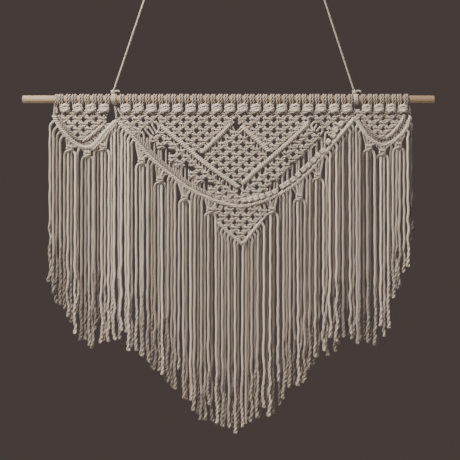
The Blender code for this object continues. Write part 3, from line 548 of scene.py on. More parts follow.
def twisted_cord(node, given):
    """Sweeps a three-lobed profile along curves and turns it with the length, as the plies lie."""
    size, turn, around, along = (
        node("GeometryNodeInputNamedAttribute", {"Name": label})
        for label in ("size", "turn", "around", "along")
    )
    smooth = node("GeometryNodeCurveSplineType", {"Curve": given["Geometry"]}, spline_type="CATMULL_ROM")
    spacing = given["Ring spacing"]
    rings = node("GeometryNodeResampleCurve", {"Curve": smooth, "Length": spacing}, mode="LENGTH")
    far = node("GeometryNodeSplineParameter", output="Length")
    rounds = node("ShaderNodeMath", (far, given["Lay"]), operation="DIVIDE")
    tilt = node("ShaderNodeMath", (rounds, math.tau, turn), operation="MULTIPLY_ADD")
    tilted = node("GeometryNodeSetCurveTilt", {"Curve": rings, "Tilt": tilt})
    measured = node("GeometryNodeStoreNamedAttribute", {"Geometry": tilted, "Name": "along", "Value": far})
    radius = node("ShaderNodeMath", (given["Diameter"], 0.5), operation="MULTIPLY")
    radius = node("ShaderNodeMath", (radius, size), operation="MULTIPLY")

    # The lobes are read on the profile, and again on the swept mesh, where they mark the creases.
    circle = node("GeometryNodeCurvePrimitiveCircle", {"Resolution": SIDES_ROUND, "Radius": 1.0})
    step = math.tau / SIDES_ROUND
    angle = node("ShaderNodeMath", (node("GeometryNodeInputIndex"), step), operation="MULTIPLY")
    ringed = node("GeometryNodeStoreNamedAttribute", {"Geometry": circle, "Name": "around", "Value": angle})
    lobes = node("ShaderNodeMath", (around, PLIES), operation="MULTIPLY")
    lobes = node("ShaderNodeMath", (lobes,), operation="COSINE")
    reach = node("ShaderNodeMath", (lobes, -PLY_DEPTH, 1.0 - PLY_DEPTH / 2), operation="MULTIPLY_ADD")
    place = node("GeometryNodeInputPosition")
    lobed = node("ShaderNodeVectorMath", {0: place, "Scale": reach}, operation="SCALE")
    profile = node("GeometryNodeSetPosition", {"Geometry": ringed, "Position": lobed})

    swept = node(
        "GeometryNodeCurveToMesh",
        {"Curve": measured, "Profile Curve": profile, "Scale": radius, "Fill Caps": True},
    )
    cosine, sine = (node("ShaderNodeMath", (around,), operation=wave) for wave in ("COSINE", "SINE"))
    yarn = node("ShaderNodeCombineXYZ", (cosine, sine, along))
    marked = node(
        "GeometryNodeStoreNamedAttribute", {"Geometry": swept, "Name": "yarn", "Value": yarn},
        data_type="FLOAT_VECTOR",
    )
    # The creases' mask, which the cotton material darkens as painted shade.
    crease = node("ShaderNodeMath", (lobes, 0.5, 0.5), operation="MULTIPLY_ADD")
    creased = node("GeometryNodeStoreNamedAttribute", {"Geometry": marked, "Name": "crease", "Value": crease})
    return node("GeometryNodeSetShadeSmooth", {"Geometry": creased})


def twist(node, given, curves):
    """The twisted cord group inside another tree, fed with its curves."""
    inputs = {label: given[label] for label, _, _ in CORD_INPUTS}
    return node("GeometryNodeGroup", {"Geometry": curves, **inputs}, node_tree=tree_of(twisted_cord))


def laid_cords(node, given):
    """Turns each line of edges into a twisted cord."""
    return twist(node, given, node("GeometryNodeMeshToCurve", {"Mesh": given["Geometry"]}))


def tied_knots(node, given):
    """Ties a pattern of cords at each point, turned and sized by the point's own values."""
    pattern = node("GeometryNodeObjectInfo", {"Object": given["Pattern"]}, output="Geometry")
    slant, spread = (
        node("GeometryNodeInputNamedAttribute", {"Name": label}, data_type="FLOAT_VECTOR")
        for label in ("slant", "spread")
    )
    turned = node("FunctionNodeEulerToRotation", (slant,))
    tied = node(
        "GeometryNodeInstanceOnPoints",
        {"Points": given["Geometry"], "Instance": pattern, "Rotation": turned, "Scale": spread},
    )
    whole = node("GeometryNodeRealizeInstances", {"Geometry": tied})
    return twist(node, given, node("GeometryNodeMeshToCurve", {"Mesh": whole}))


def wrapped_bars(node, given):
    """Wraps a cord round each line of edges, as half hitches lie round the cord that carries them."""
    curves = node("GeometryNodeMeshToCurve", {"Mesh": given["Geometry"]})
    smooth = node("GeometryNodeCurveSplineType", {"Curve": curves}, spline_type="CATMULL_ROM")
    step = node("ShaderNodeMath", (given["Wrap pitch"], 10.0), operation="DIVIDE")
    fine = node("GeometryNodeResampleCurve", {"Curve": smooth, "Length": step}, mode="LENGTH")
    far = node("GeometryNodeSplineParameter", output="Length")
    turn = node("ShaderNodeMath", (far, given["Wrap pitch"]), operation="DIVIDE")
    turn = node("ShaderNodeMath", (turn, math.tau), operation="MULTIPLY")
    tangent, out, shift = node("GeometryNodeInputTangent"), (0.0, 1.0, 0.0), (0.0, 0.0, 0.0)
    side = node("ShaderNodeVectorMath", (tangent, out), operation="CROSS_PRODUCT")
    side = node("ShaderNodeVectorMath", (side,), operation="NORMALIZE")
    for way, wave, reach in (
        (side, "COSINE", "Half width"), (out, "SINE", "Half depth"), (tangent, "COSINE", "Slant"),
    ):
        swing = node("ShaderNodeMath", (turn,), operation=wave)
        swing = node("ShaderNodeMath", (swing, given[reach]), operation="MULTIPLY")
        shift = node("ShaderNodeVectorMath", (way, swing, shift), operation="MULTIPLY_ADD")
    wound = node("GeometryNodeSetPosition", {"Geometry": fine, "Offset": shift})
    return twist(node, given, node("GeometryNodeCurveSplineType", {"Curve": wound}, spline_type="POLY"))


# --- Materials ---


def colour(hex_value):
    """An sRGB hex value as linear red, green, blue and alpha."""
    parts = [int(hex_value[i : i + 2], 16) / 255 for i in (1, 3, 5)]
    return (*[p / 12.92 if p <= 0.04045 else ((p + 0.055) / 1.055) ** 2.4 for p in parts], 1.0)


def material(name, look, *colours):
    """A material made once and then found by its name. The look gives the shader's inputs."""
    if name in bpy.data.materials:
        return bpy.data.materials[name]
    made = bpy.data.materials.new(name)
    made.use_nodes = True
    made.node_tree.nodes.clear()
    node = partial(add_node, made.node_tree)
    shader = node("ShaderNodeBsdfPrincipled", look(node, *[colour(hex_value) for hex_value in colours]))
    node("ShaderNodeOutputMaterial", {"Surface": shader})
    return made


SHADE_START = -0.675  # where the sum below starts, so that crests stay light and the painted shade makes the creases dark


def twisted_cotton(node, light, dark):
    """Natural three-ply twisted cotton: matte, a little furry, with painted shade in the creases between the
    plies.
    """
    yarn, crease, tone = (
        node("ShaderNodeAttribute", output=output, attribute_name=label)
        for label, output in (("yarn", "Vector"), ("crease", "Fac"), ("tone", "Fac"))
    )
    place = node("ShaderNodeTexCoord", output="Object")
    # Fibres 0.3 mm across run along each ply; they are drawn long and thin by stretching the coordinates.
    stretched = node("ShaderNodeVectorMath", (yarn, (7.0, 7.0, 260.0)), operation="MULTIPLY")
    fibres = node("ShaderNodeTexNoise", {"Vector": stretched, "Scale": 1.0, "Detail": 3.0, "Roughness": 0.6})
    # The cotton's own tone drifts over some 40 mm.
    drift = node("ShaderNodeTexNoise", {"Vector": place, "Scale": 25.0, "Detail": 2.0, "Roughness": 0.5})
    # Painted shade: the creases between the plies are darkened as if in shadow, and the fibres, a slow drift
    # and each strand's tone add to the same mix.
    shade_and_tone = SHADE_START
    for part, share in ((crease, 1.5), (fibres, 0.5), (drift, 0.35), (tone, 0.34)):
        shade_and_tone = node("ShaderNodeMath", (part, share, shade_and_tone), operation="MULTIPLY_ADD")
    base = node("ShaderNodeMix", {"Factor": shade_and_tone, 6: light, 7: dark}, output=2, data_type="RGBA")
    bump = node("ShaderNodeBump", {"Strength": 0.5, "Distance": 0.25 * MM, "Height": fibres})
    return {
        "Base Color": base,
        "Roughness": 0.92, "Specular IOR Level": 0.25, "Sheen Weight": 0.25, "Sheen Roughness": 0.6,
        "Normal": bump,
    }


def sanded_wood(node, light, dark):
    """A bare sanded ramin rod: pale, close-grained, with fine streaks that run its whole length."""
    place = node("ShaderNodeTexCoord", output="Object")
    # Streaks 0.8 mm wide and about 60 mm long.
    stretched = node("ShaderNodeVectorMath", (place, (16.0, 1200.0, 1200.0)), operation="MULTIPLY")
    grain = node(
        "ShaderNodeTexNoise",
        {"Vector": stretched, "Scale": 1.0, "Detail": 4.0, "Roughness": 0.6, "Distortion": 0.4},
    )
    # Painted shade: the rod is darker and browner towards its right end, where less light falls.
    along = node("ShaderNodeSeparateXYZ", {"Vector": place}, output="X")
    grain_and_shade = node("ShaderNodeMath", (along, 0.75, grain), operation="MULTIPLY_ADD")
    base = node("ShaderNodeMix", {"Factor": grain_and_shade, 6: light, 7: dark}, output=2, data_type="RGBA")
    return {
        "Base Color": base,
        "Roughness": node("ShaderNodeMapRange", {"Value": grain, "To Min": 0.5, "To Max": 0.68}),
        "Normal": node("ShaderNodeBump", {"Strength": 0.25, "Distance": 0.1 * MM, "Height": grain}),
    }


def matte_floor(node, shade):
    """A pale floor without gloss or grain, for the shadow."""
    return {"Base Color": shade, "Roughness": 0.8}


# --- Pieces ---


def add_object(name, data):
    made = bpy.data.objects.new(name, data)
    bpy.context.scene.collection.objects.link(made)
    return made


def add_piece(name, mesh, node):
    """Puts a plain mesh on the body in place of a CAD node."""
    piece = add_object(name, mesh)
    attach(piece, "root")
    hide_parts(node)
    return piece


def settle(name, lines, fill, node, changes=None):
    """Runs a tree on a mesh, with the user's settings and a piece's changes, and keeps the mesh it makes."""
    settings = bpy.context.scene.macrame_cord
    values = {
        "Diameter": settings.diameter,
        "Lay": settings.lay,
        "Ring spacing": settings.ring,
        "Cotton": material("natural three-ply cotton", twisted_cotton, settings.colour, settings.shade),
        **(changes or {}),
    }
    guide = add_object(f"{name} lines", lines)
    modifier = guide.modifiers.new(name, "NODES")
    modifier.node_group = tree_of(fill)
    for item in modifier.node_group.interface.items_tree:
        if item.in_out == "INPUT" and item.name in values:
            modifier[item.identifier] = values[item.name]
    graph = bpy.context.evaluated_depsgraph_get()
    made = bpy.data.meshes.new_from_object(guide.evaluated_get(graph), depsgraph=graph)
    made.name = name
    bpy.data.objects.remove(guide)
    return add_piece(name, made, node)


def tie(name, pattern, rows, node, changes=None):
    """Ties a pattern at rows (x, z, f, slant in degrees, width, depth, height)."""
    guide = bpy.data.objects.new(pattern.name, pattern.mesh(moved=False))
    mesh = bpy.data.meshes.new(f"{name} places")
    mesh.from_pydata([world(*row[:3]) for row in rows], [], [])
    slants = [part for row in rows for part in (0.0, math.radians(row[3]), 0.0)]
    spreads = [part for row in rows for part in row[4:]]
    for key, values in (("slant", slants), ("spread", spreads)):
        mesh.attributes.new(key, "FLOAT_VECTOR", "POINT").data.foreach_set("vector", values)
    settle(name, mesh, tied_knots, node, {**(changes or {}), "Pattern": guide})
    bpy.data.objects.remove(guide)


def wrap_bar(name, table, node, half_width, diameter, rise, tone):
    """A half-hitch bar along a table of (x, z): a cord wound over the one that carries it."""
    skein = Skein(name)
    route = Route(table)
    skein.lay(lifted(route.evenly(max(int(route.length / BAR_STEP), 2)), rise), tone=tone)
    settle(name, skein.mesh(), wrapped_bars, node, {"Half width": half_width * MM, "Diameter": diameter * MM})


# --- The patterns of the knots, drawn about their own middle as rows (x, z, f) ---


def mirrored(line):
    return [(-x, z, f) for x, z, f in line]


def upturned(line):
    return [(x, -z, f) for x, z, f in reversed(line)]


def square_knot(legs=True):
    """A square knot round two cords: the worker slopes across twice, and its bight shows at the left."""
    skein = Skein("square knot")
    if legs:
        worker = [(-7.6, 3.7, LEG_LIFT), (-6.5, 2.8, LEG_LIFT)]
        core = [(-5.0, 6.8, LEG_LIFT), (-3.9, 5.9, LEG_LIFT)]
    else:
        worker, core = [(-3.9, 4.2, 0.6)], [(-2.0, 5.0, 0.0)]
    front = [*worker, (-3.6, 3.3, 2.4), (-0.6, 2.6, 2.6), (2.4, 1.5, 2.4)]
    back = [*mirrored(worker), (4.0, 3.2, 1.2), (3.2, 2.4, -1.4), (0.8, 1.8, -3.0), (-2.6, 1.0, -2.4)]
    left = [*core, (-1.7, 2.6, 0.0), (-1.6, -2.6, 0.0), *upturned(core)]
    skein.lay([*front, (4.4, 0.0, 0.8), *upturned(front)])
    skein.lay([*back, (-4.5, 0.0, 1.8), *upturned(back)])
    skein.lay(left)
    skein.lay(mirrored(left))
    return skein


def berry_knot():
    """A length of square knots rolled up into a ball: two cords that weave across its face."""
    skein = Skein("berry knot")
    points, half_height, ball, turns = 23, 6.4, 8.6, 1.5
    for start, sign in ((0.0, 1), (math.pi, -1)):
        line = []
        for i in range(points):
            t = i / (points - 1)
            turn = start + t * math.tau * turns
            z = half_height - 2 * half_height * t
            girth = math.sqrt(max(1.0 - (z / ball) ** 2, 0.1))
            side = abs(math.cos(turn)) ** 3
            f = girth * (5.9 - 3.2 * side) + sign * 0.9 * math.sin(turn) * (1 - side)
            line.append((7.0 * girth * math.cos(turn), z, f))
        skein.lay(line, tone=-0.9)
    for x, f in ((-6.2, 1.6), (6.2, 1.6), (-2.4, -1.6), (2.4, -1.6)):
        skein.lay([(x * 0.8, 6.5, f * 0.6), (x, 2.5, f), (x, -2.5, f), (x * 0.8, -6.5, f * 0.6)])
    for z in (4.0, 0.2, -3.8):
        skein.lay([(-5.6, z + 0.6, -1.0), (-2.0, z, -3.6), (2.0, z, -3.6), (5.6, z - 0.6, -1.0)])
    return skein


def over_the_dowel(x):
    """A strand from under the dowel's back, over it and down its front."""
    line = [(x, -7.6, -5.2)]
    for degrees in range(200, -11, -35):
        turn = math.radians(degrees)
        line.append((x, TURN_RADIUS * math.sin(turn), TURN_RADIUS * math.cos(turn)))
    return line


def larks_heads():
    """Two folded cords over the dowel: four strands in front in two pairs, and each fold's bar behind."""
    skein = Skein("larks heads")
    for x, low in ((-7.7, -4.6), (-3.9, -1.6), (3.9, 1.6), (7.7, 4.6)):
        line = [(x * 0.96, -6.2, 5.4), ((x + low) / 2, -9.2, 3.8), (low, -13.0, 1.0), (low, -17.0, 0.0)]
        skein.lay([*over_the_dowel(x), *line], tone=0.7)
    fold = [(-3.9, -2.6, -5.4), (-3.6, -0.6, -8.2), (-1.5, 0.6, -9.6)]
    for middle in (-6.1, 6.1):
        skein.lay([(middle + x, z, f) for x, z, f in (*fold, *reversed(mirrored(fold)))])
    return skein


def heading_rows(name):
    """The rows of a heading's lark's heads and of the berry knots under them."""
    dice = random.Random(f"{SEED} {name}")
    first, last, count = HEADINGS[name]
    pitch = (last - first) / (count - 1)
    width = pitch / HEADING_PITCH
    larks = [(first + i * pitch, 0.0, 0.0, 0.0, width, 1.0, 1.0) for i in range(count)]
    berries = [
        (
            x, HEADING_Z + dice.uniform(-0.5, 0.5), HEADING_F, dice.uniform(-7.0, 7.0) + HEADING_SLANT,
            width * dice.uniform(0.98, 1.06), dice.uniform(0.95, 1.05), dice.uniform(0.97, 1.06),
        )
        for x, *_ in larks
    ]
    return larks, berries


# --- Nets ---


def near(place, others, reach):
    return any(math.dist(place, other) < reach for other in others)


def in_hole(place):
    """Whether a place is in one of the long slits or the small gaps."""
    for x, z, width, height, lean in SLITS:
        turn = math.radians(lean)
        across = (place.x - x) * math.cos(turn) - (place.y - z) * math.sin(turn)
        along = (place.x - x) * math.sin(turn) + (place.y - z) * math.cos(turn)
        if (across / (width / 2 + 1.0)) ** 2 + (along / (height / 2 + 1.0)) ** 2 < 1:
            return True
    return near(place, EVERY_GAP, GAP_REACH)


def knots_of(name):
    """A net's knots: those that its table gives, then those round each hole, each of them once."""
    pitch, row, holes = NETS[name]
    knots = {"main": [*BAND_UPPER, *BAND_LOWER], "point": list(POINT_CORNERS)}.get(name, [])
    for first, z, count in holes:
        for x in (first + i * pitch for i in range(count)):
            for place in ((x - pitch / 2, z), (x + pitch / 2, z), (x, z + row), (x, z - row)):
                if not near(place, knots, KNOT_APART):
                    knots.append(place)
    return knots


def net_rows(name, bars):
    """Each knot's row for tie(), a little uneven, as a hand ties them. A bar or a gap hides some of them."""
    dice = random.Random(f"{SEED} {name}")
    pitch, row, _ = NETS[name]
    rows = []
    for x, z in knots_of(name):
        place = Vector((x, z))
        on_bar = any((nearest_on(bar, place) - place).length < BAR_CLEAR for bar in bars)
        hidden = z > HEADING_LOW or on_bar and (x, z) not in POINT_CORNERS
        if not hidden and not near(place, EVERY_GAP, KNOT_CLEAR):
            rows.append((
                x + dice.uniform(-0.4, 0.4), z + dice.uniform(-0.3, 0.3), dice.uniform(-0.3, 0.3),
                dice.uniform(-4.0, 4.0),
                pitch / NET_COLUMN * dice.uniform(0.97, 1.03), dice.uniform(0.95, 1.08),
                row / NET_ROW * dice.uniform(0.97, 1.05),
            ))
    return rows


def feet_of(x, z, pitch, row):
    """Where the eight legs of a net's knot are half-way to the next knot: side, rise and place of each."""
    wide, high = pitch / NET_COLUMN, row / NET_ROW
    return [
        (side, rise, Vector((x + side * leg_x * wide, z + rise * leg_z * high)))
        for side in (-1, 1) for rise in (1, -1) for leg_x, leg_z in LEGS
    ]


def by_a_hole(x, z, pitch, row):
    """Whether one of a knot's legs would cross a slit or a gap."""
    return any(in_hole(foot) for _, _, foot in feet_of(x, z, pitch, row))


def tie_off(skein, knots, bars, pitch, row):
    """Lays the legs of the knots by a hole, and runs those that meet no knot on into a bar or the heading."""
    for x, z in knots:
        bare = by_a_hole(x, z, pitch, row)
        for side, rise, foot in feet_of(x, z, pitch, row):
            back = foot.lerp(Vector((x, z)), LEG_BACK[bare])
            line = [(back.x, back.y, LEG_LIFT + 0.6), (foot.x, foot.y, LEG_LIFT)]
            alone = not near((x + side * pitch / 2, z + rise * row), knots, KNOT_APART)
            if alone:
                ends = [nearest_on(bar, foot) for bar in bars]
                if rise > 0 and foot.y > HEADING_LOW - row:
                    ends.append(Vector((foot.x + side * 0.8, HEADING_LOW + LEG_INTO)))
                end = min(ends, key=lambda dot: (dot - foot).length)
                if (end - foot).length > LEG_REACH or (end - foot).dot(Vector((side, rise))) <= 0:
                    end = foot
                if any(in_hole(foot.lerp(end, share)) for share in (0.0, 0.35, 0.7)):
                    continue
                line.append((end.x + side * 0.1, end.y + rise * 0.1, 0.2))
            if bare and not in_hole(foot) or alone and not bare:
                skein.lay(line, LEG_SIZE)


# --- Loose strands ---


def hang_wings(skein):
    """The strands between the bands of knots and the big swag's bar, parted by the slits."""
    for line in (BAND_LOWER, [(x, z - NET_ROW) for x, z in BAND_RIGHT_HOLES]):
        xs = [x for x, _ in line]
        first, last = min(xs) - WING_REACH, max(xs) + WING_REACH
        banks = sorted(
            (x - width / 2, x + width / 2)
            for x, z, width, _, lean in SLITS if not lean and first < x < last and z < WING_TOP
        )
        banks = [(first, first), *banks, (last, last)]
        for (_, start), (end, _) in zip(banks, banks[1:]):
            count = max(round((end - start) / WING_PITCH), 1)
            step = (end - start) / count
            size = min(max(step / WING_PITCH, WING_THIN), 1.0) * WING_SIZE
            for i in range(count):
                x = start + (i + 0.5) * step
                top, low = height_at(line, x) + WING_IN[0], height_at(SWAGS["main"], x) + WING_IN[1]
                if top - low > WING_LEAST:
                    heights = (top, (top * 2 + low) / 3, (top + low * 2) / 3, low)
                    skein.lay([(x, z, skein.dice.uniform(-0.8, 0.3)) for z in heights], size)


def fill_bands(skein):
    """The short strands that leave the lower sides of the two Vs, one between each two small gaps."""
    for gaps in GAPS:
        for (x0, z0), (x1, z1) in zip(gaps, gaps[1:]):
            x, z = (x0 + x1) / 2, (z0 + z1) / 2
            if abs(x1 - x0) <= GAPS_APART:
                rows = [(x, z + 6.0, 0.6), (x, z, 0.6), (x + skein.dice.uniform(-0.6, 0.6), z - 5.5, 0.0)]
                skein.lay(rows, GAP_STRAND, tone=-0.4)


def edge_border(skein):
    """The two cords over the left half of the big swag's bar, painted darker as shade."""
    left = Route([row for row in SWAGS["main"] if row[0] <= BORDER_RIGHT[0][0]])
    for up in BORDER_CORDS:
        skein.lay(lifted(left.evenly(40, up), 1.4), tone=1.0)


def carry_edge(skein):
    """The two strands over the dowel's left end, down to the panel's outermost ones."""
    for x, (top_x, top_z) in zip(EDGE_STRANDS, (line[0] for line in SIDES["left"])):
        down = [(x, -5.8, 5.4), (top_x, min(top_z, -9.0), 2.4), (top_x, -14.0, 0.4)]
        skein.lay([*over_the_dowel(x), *down], EDGE_SIZE, tone=0.4)


def cross_strands(skein, name):
    """The strands in pairs, a small gap between each two, from a small swag's inner bar to its outer one."""
    route = Route(SWAGS[name])
    # These cords are painted darker, as shade.
    for up, tone in FILLING:
        skein.lay(lifted(route.evenly(24, up, FILL_FROM, FILL_TO[name]), 0.6), tone=tone)
    far, end = route.distance_at_x(CROSS_FROM[name]), route.length - CROSS_END
    while far < end:
        for shift in (-CROSS_PAIR / 2, CROSS_PAIR / 2):
            foot = route.at(far + shift)
            top = nearest_on(BARS[name][0], foot)
            skein.lay([(*foot, 0.4), (*foot.lerp(top, 0.5), 0.8), (*top, 0.4)], 0.95, tone=0.1)
        far += CROSS_PITCH


# --- Fringes ---


def strands_of(route, groups):
    """For each strand, how far along its swag's bar it starts, and the x at which it hangs."""
    strands = []
    for start_x, end_x, first_x, last_x in groups:
        count = round((last_x - first_x) / STRAND_PITCH)
        for i in range(count):
            share = (i + 0.5) / count
            start = route.distance_at_x(start_x + (end_x - start_x) * share)
            strands.append((start, first_x + (last_x - first_x) * share))
    return strands


def knotted_strands(strands, knots):
    """For each strand in a knot, its x in the knot, the knot's z and its place in it, 0 to 3."""
    found = {}
    for knot_x, knot_z in knots:
        centres = {i: sum(x for _, x in strands[i : i + 4]) / 4 for i in range(len(strands) - 3)}
        first = min(centres, key=lambda i: abs(centres[i] - knot_x))
        for place in range(4):
            found[first + place] = (knot_x, knot_z + KNOT_RISE, place)
    return found


def unlay(skein, line, tone):
    """A strand's loose end as its two halves, which wind about each other and open towards the tip."""
    route = Route(line)
    count = max(int(route.length / UNLAID_STEP), 4)
    start, pitch = skein.dice.uniform(0.0, math.tau), skein.dice.uniform(*UNLAID_PITCH)
    sizes = [UNLAID_SIZE] * (count - 1) + [UNLAID_SIZE * 1.35, UNLAID_SIZE * 1.1]
    for half in (0.0, math.pi):
        rows = []
        for i in range(count + 1):
            share = i / count
            dot = route.on_line(route.length * share)
            turn = start + half + route.length * share / pitch * math.tau
            reach = UNLAID_REACH * (0.5 + 0.9 * share)
            rows.append((dot.x + reach * math.cos(turn), dot.y, dot.z + reach * math.sin(turn)))
        skein.lay(rows, sizes, tone=tone + skein.dice.uniform(-0.4, 0.4))


def hang_fringe(name):
    """The strands of one swag, each from inside its bar down to its tip, and the knots tied in them."""
    node = f"fringe_{name}"
    dice, sway = random.Random(f"{SEED} {node}"), random.Random(f"{SEED} sway {name}")
    skein, ends = Skein(f"fringe {name}"), Skein(f"ends {name}")
    route, ties = Route(SWAGS[name]), {}
    strands = strands_of(route, STRANDS[name])
    knotted = knotted_strands(strands, KNOTS[name])
    if name == "point":
        skein.lay(POINT_STRAND)
    for i, (distance, x) in enumerate(strands):
        heart, root = route.at(distance), route.at(distance, -ROOT_DROP)
        dice.uniform(-1.0, 1.0)  # this draw only keeps the later ones in their order
        tip_x = x + dice.uniform(-0.35, 0.35)
        tip_z = height_at(CUT_EDGE, x, level=False) + dice.uniform(-4.0, 4.0) + sway.uniform(-UNEVEN, UNEVEN)
        if sway.random() < SHORT_SHARE:
            tip_z += sway.uniform(*SHORTER)
        depth = (STRAND_DEPTH if i % 2 else -STRAND_DEPTH) + sway.uniform(-1.2, 1.2)
        line = [(*heart, 1.0), (*root, 2.6)]
        if i in knotted:
            knot_x, knot_z, place = knotted[i]
            ties[knot_z] = knot_x
            in_knot = knot_x + (place - 1.5) * KNOT_STRANDS
            x = tip_x = knot_x + KNOT_HANG[place]
            under = in_knot * (1 - KNOT_BEND) + x * KNOT_BEND
            line += [(in_knot, knot_z + KNOT_IN, 0.4), (in_knot, knot_z - KNOT_OUT, 0.4)]
            line.append((under, knot_z - KNOT_UNDER, 1.2))
            turned_z = knot_z - STRAIGHT_FROM
        else:
            out, down, share = ROOT_BEND
            bend = root + (root - heart).normalized() * out
            line.append((bend.x * (1 - share) + x * share, bend.y - down, 1.6))
            turned_z = root.y - STRAIGHT_FROM
        line.append((x, turned_z, depth * 0.6))
        lean = sway.uniform(-LEAN, LEAN)
        count = max(int((turned_z - tip_z) / STRAND_STEP), 3)
        most, wave, phase = sway.uniform(*WAVE), sway.uniform(*WAVE_LENGTH), sway.uniform(0.0, math.tau)
        kink, kinks, start = sway.uniform(*KINK), sway.uniform(*KINK_LENGTH), sway.uniform(0.0, math.tau)
        for step in range(1, count + 1):
            share = step / count
            drop = turned_z + (tip_z - turned_z) * share
            low = max(1.0 - (drop - tip_z) / LOOSE_END, 0.0)
            sweep, crimp = 0.25 + 0.75 * most * low, kink * (0.25 + 0.9 * low)
            slow, quick = phase + drop / wave * math.tau, start + drop / kinks * math.tau
            aside = (tip_x - x + lean) * share + sweep * math.sin(slow) + crimp * math.sin(quick)
            line.append((x + aside, drop, depth + 0.6 * sweep * math.cos(slow) + crimp * math.cos(quick)))
        # A strand's random tone, with painted shade on those behind and painted light on those in front.
        tone = sway.uniform(*STRAND_TONE) - BEHIND_SHADE * depth / STRAND_DEPTH + FRINGE_TONE
        open_end = sway.uniform(*UNLAID)
        solid = [row for row in line if row[1] > tip_z + open_end]
        skein.lay(solid, tone=tone)
        # The loose end is painted darker, as shade towards the bottom.
        unlay(ends, [solid[-1], *line[len(solid):]], tone + UNLAID_SHADE)
    settle(f"{node}_strands", skein.mesh(), laid_cords, node)
    settle(f"{node}_ends", ends.mesh(), laid_cords, node)
    rows = [(x, z, *KNOT_FORM) for z, x in ties.items()]
    if rows:
        tie(f"{node}_knots", square_knot(legs=False), rows, node)


# --- Operators ---


class MACRAME_OT_dowel(bpy.types.Operator):
    """Turns the wooden dowel"""

    bl_idname = "macrame.dowel"
    bl_label = "Wooden dowel"

    def execute(self, context):
        settings = context.scene.macrame_dowel
        points, faces = [], []
        for x, radius in (
            (DOWEL_LEFT, DOWEL_RADIUS - DOWEL_CHAMFER), (DOWEL_LEFT + DOWEL_CHAMFER, DOWEL_RADIUS),
            (DOWEL_RIGHT - DOWEL_CHAMFER, DOWEL_RADIUS), (DOWEL_RIGHT, DOWEL_RADIUS - DOWEL_CHAMFER),
        ):
            for i in range(DOWEL_SIDES):
                turn = math.tau * i / DOWEL_SIDES
                points.append(world(x, radius * math.sin(turn), radius * math.cos(turn)))
        for ring in range(3):
            for i in range(DOWEL_SIDES):
                a, b = ring * DOWEL_SIDES + i, ring * DOWEL_SIDES + (i + 1) % DOWEL_SIDES
                faces.append((a, b, b + DOWEL_SIDES, a + DOWEL_SIDES))
        faces += [tuple(reversed(range(DOWEL_SIDES))), tuple(range(3 * DOWEL_SIDES, 4 * DOWEL_SIDES))]
        mesh = bpy.data.meshes.new("wooden_dowel")
        mesh.from_pydata(points, [], faces)
        if mesh.polygons[0].normal.dot(mesh.polygons[0].center - world(0, 0)) < 0:
            mesh.flip_normals()
        mesh.shade_smooth()
        mesh.set_sharp_from_angle(angle=math.radians(30))
        mesh.materials.append(material("sanded ramin wood", sanded_wood, settings.colour, settings.grain))
        add_piece("wooden_dowel", mesh, "dowel")
        return {"FINISHED"}


class MACRAME_OT_hanger(bpy.types.Operator):
    """Ties the thin cord round the dowel and draws its two taut legs up to their loops"""

    bl_idname = "macrame.hanger"
    bl_label = "Hanger"

    def execute(self, context):
        thin = {
            "Diameter": HANGER_CORD * MM, "Lay": 9.0 * MM, "Ring spacing": 1.2 * MM,
            "Cotton": material("thin white cotton", twisted_cotton, THIN_LIGHT, THIN_DARK),
        }
        for side, (ball, loop_top, turns_x) in HANGERS.items():
            foot, top = Vector(ball), Vector(loop_top)
            way = (top - foot).normalized()
            across = Vector((way.y, -way.x))
            knot = top - way * (LOOP_LENGTH + HANGER_CORD / 2)
            seat = way * (BALL_RADIUS + GAP)
            start, end = foot + seat, knot - seat
            path = [start.lerp(end, i / LEG_POINTS) for i in range(LEG_POINTS + 1)]
            loop, leg, turns = [Skein(f"hanger {part} {side}") for part in ("loop", "leg", "knot")]

            self.ball(loop, knot)
            bend = []
            for i in range(LOOP_POINTS + 1):
                turn = math.tau * i / LOOP_POINTS
                wide = LOOP_WIDTH / 2 * math.sin(turn) * abs(math.sin(turn / 2)) ** 0.6
                bend.append(knot + way * LOOP_LENGTH * (1 - math.cos(turn)) / 2 + across * wide)
            loop.lay(lifted(bend, 0.0))

            leg.lay(lifted(path, 0.0))

            self.ball(turns, foot)
            turns.lay([(foot.x + x, foot.y + z, 0.0) for x, z in TAIL])
            reach, count, wound = DOWEL_RADIUS + HANGER_CORD / 2, HANGER_TURNS * TURN_POINTS, []
            for i in range(count + 1):
                turn = i / count * HANGER_TURNS * math.tau
                x = turns_x + (2 * i / count - 1) * (TURNS_HALF_WIDTH - HANGER_CORD / 2)
                wound.append((x, reach * math.cos(turn), reach * math.sin(turn)))
            turns.lay(wound)

            for part, lines in (("loop_{}_tied", loop), ("cord_{}_twisted", leg), ("knot_{}_tied", turns)):
                name = "hanger_" + part.format(side)
                node = name.rpartition("_")[0]
                settle(name, lines.mesh(), laid_cords, node, thin)
        return {"FINISHED"}

    def ball(self, skein, centre):
        """Three turns that cross each other over a ball."""
        reach = BALL_RADIUS - HANGER_CORD / 2 + 0.4
        for lean in (0.5, -0.6, 1.5):
            line = []
            for i in range(BALL_POINTS + 1):
                turn = math.tau * i / BALL_POINTS
                x, f = reach * math.cos(turn), reach * math.sin(turn) * 0.85
                line.append((centre.x + x * math.cos(lean), centre.y + x * math.sin(lean), f))
            skein.lay(line)


class MACRAME_OT_headings(bpy.types.Operator):
    """Ties the lark's heads round the dowel and the row of berry knots under it"""

    bl_idname = "macrame.headings"
    bl_label = "Lark's heads and heading knots"

    def execute(self, context):
        for name in HEADINGS:
            larks, berries = heading_rows(name)
            tie(f"larks_heads_{name}", larks_heads(), larks, f"panel_{name}", {"Diameter": 3.8 * MM})
            tie(f"heading_knots_{name}", berry_knot(), berries, f"panel_{name}")
        return {"FINISHED"}


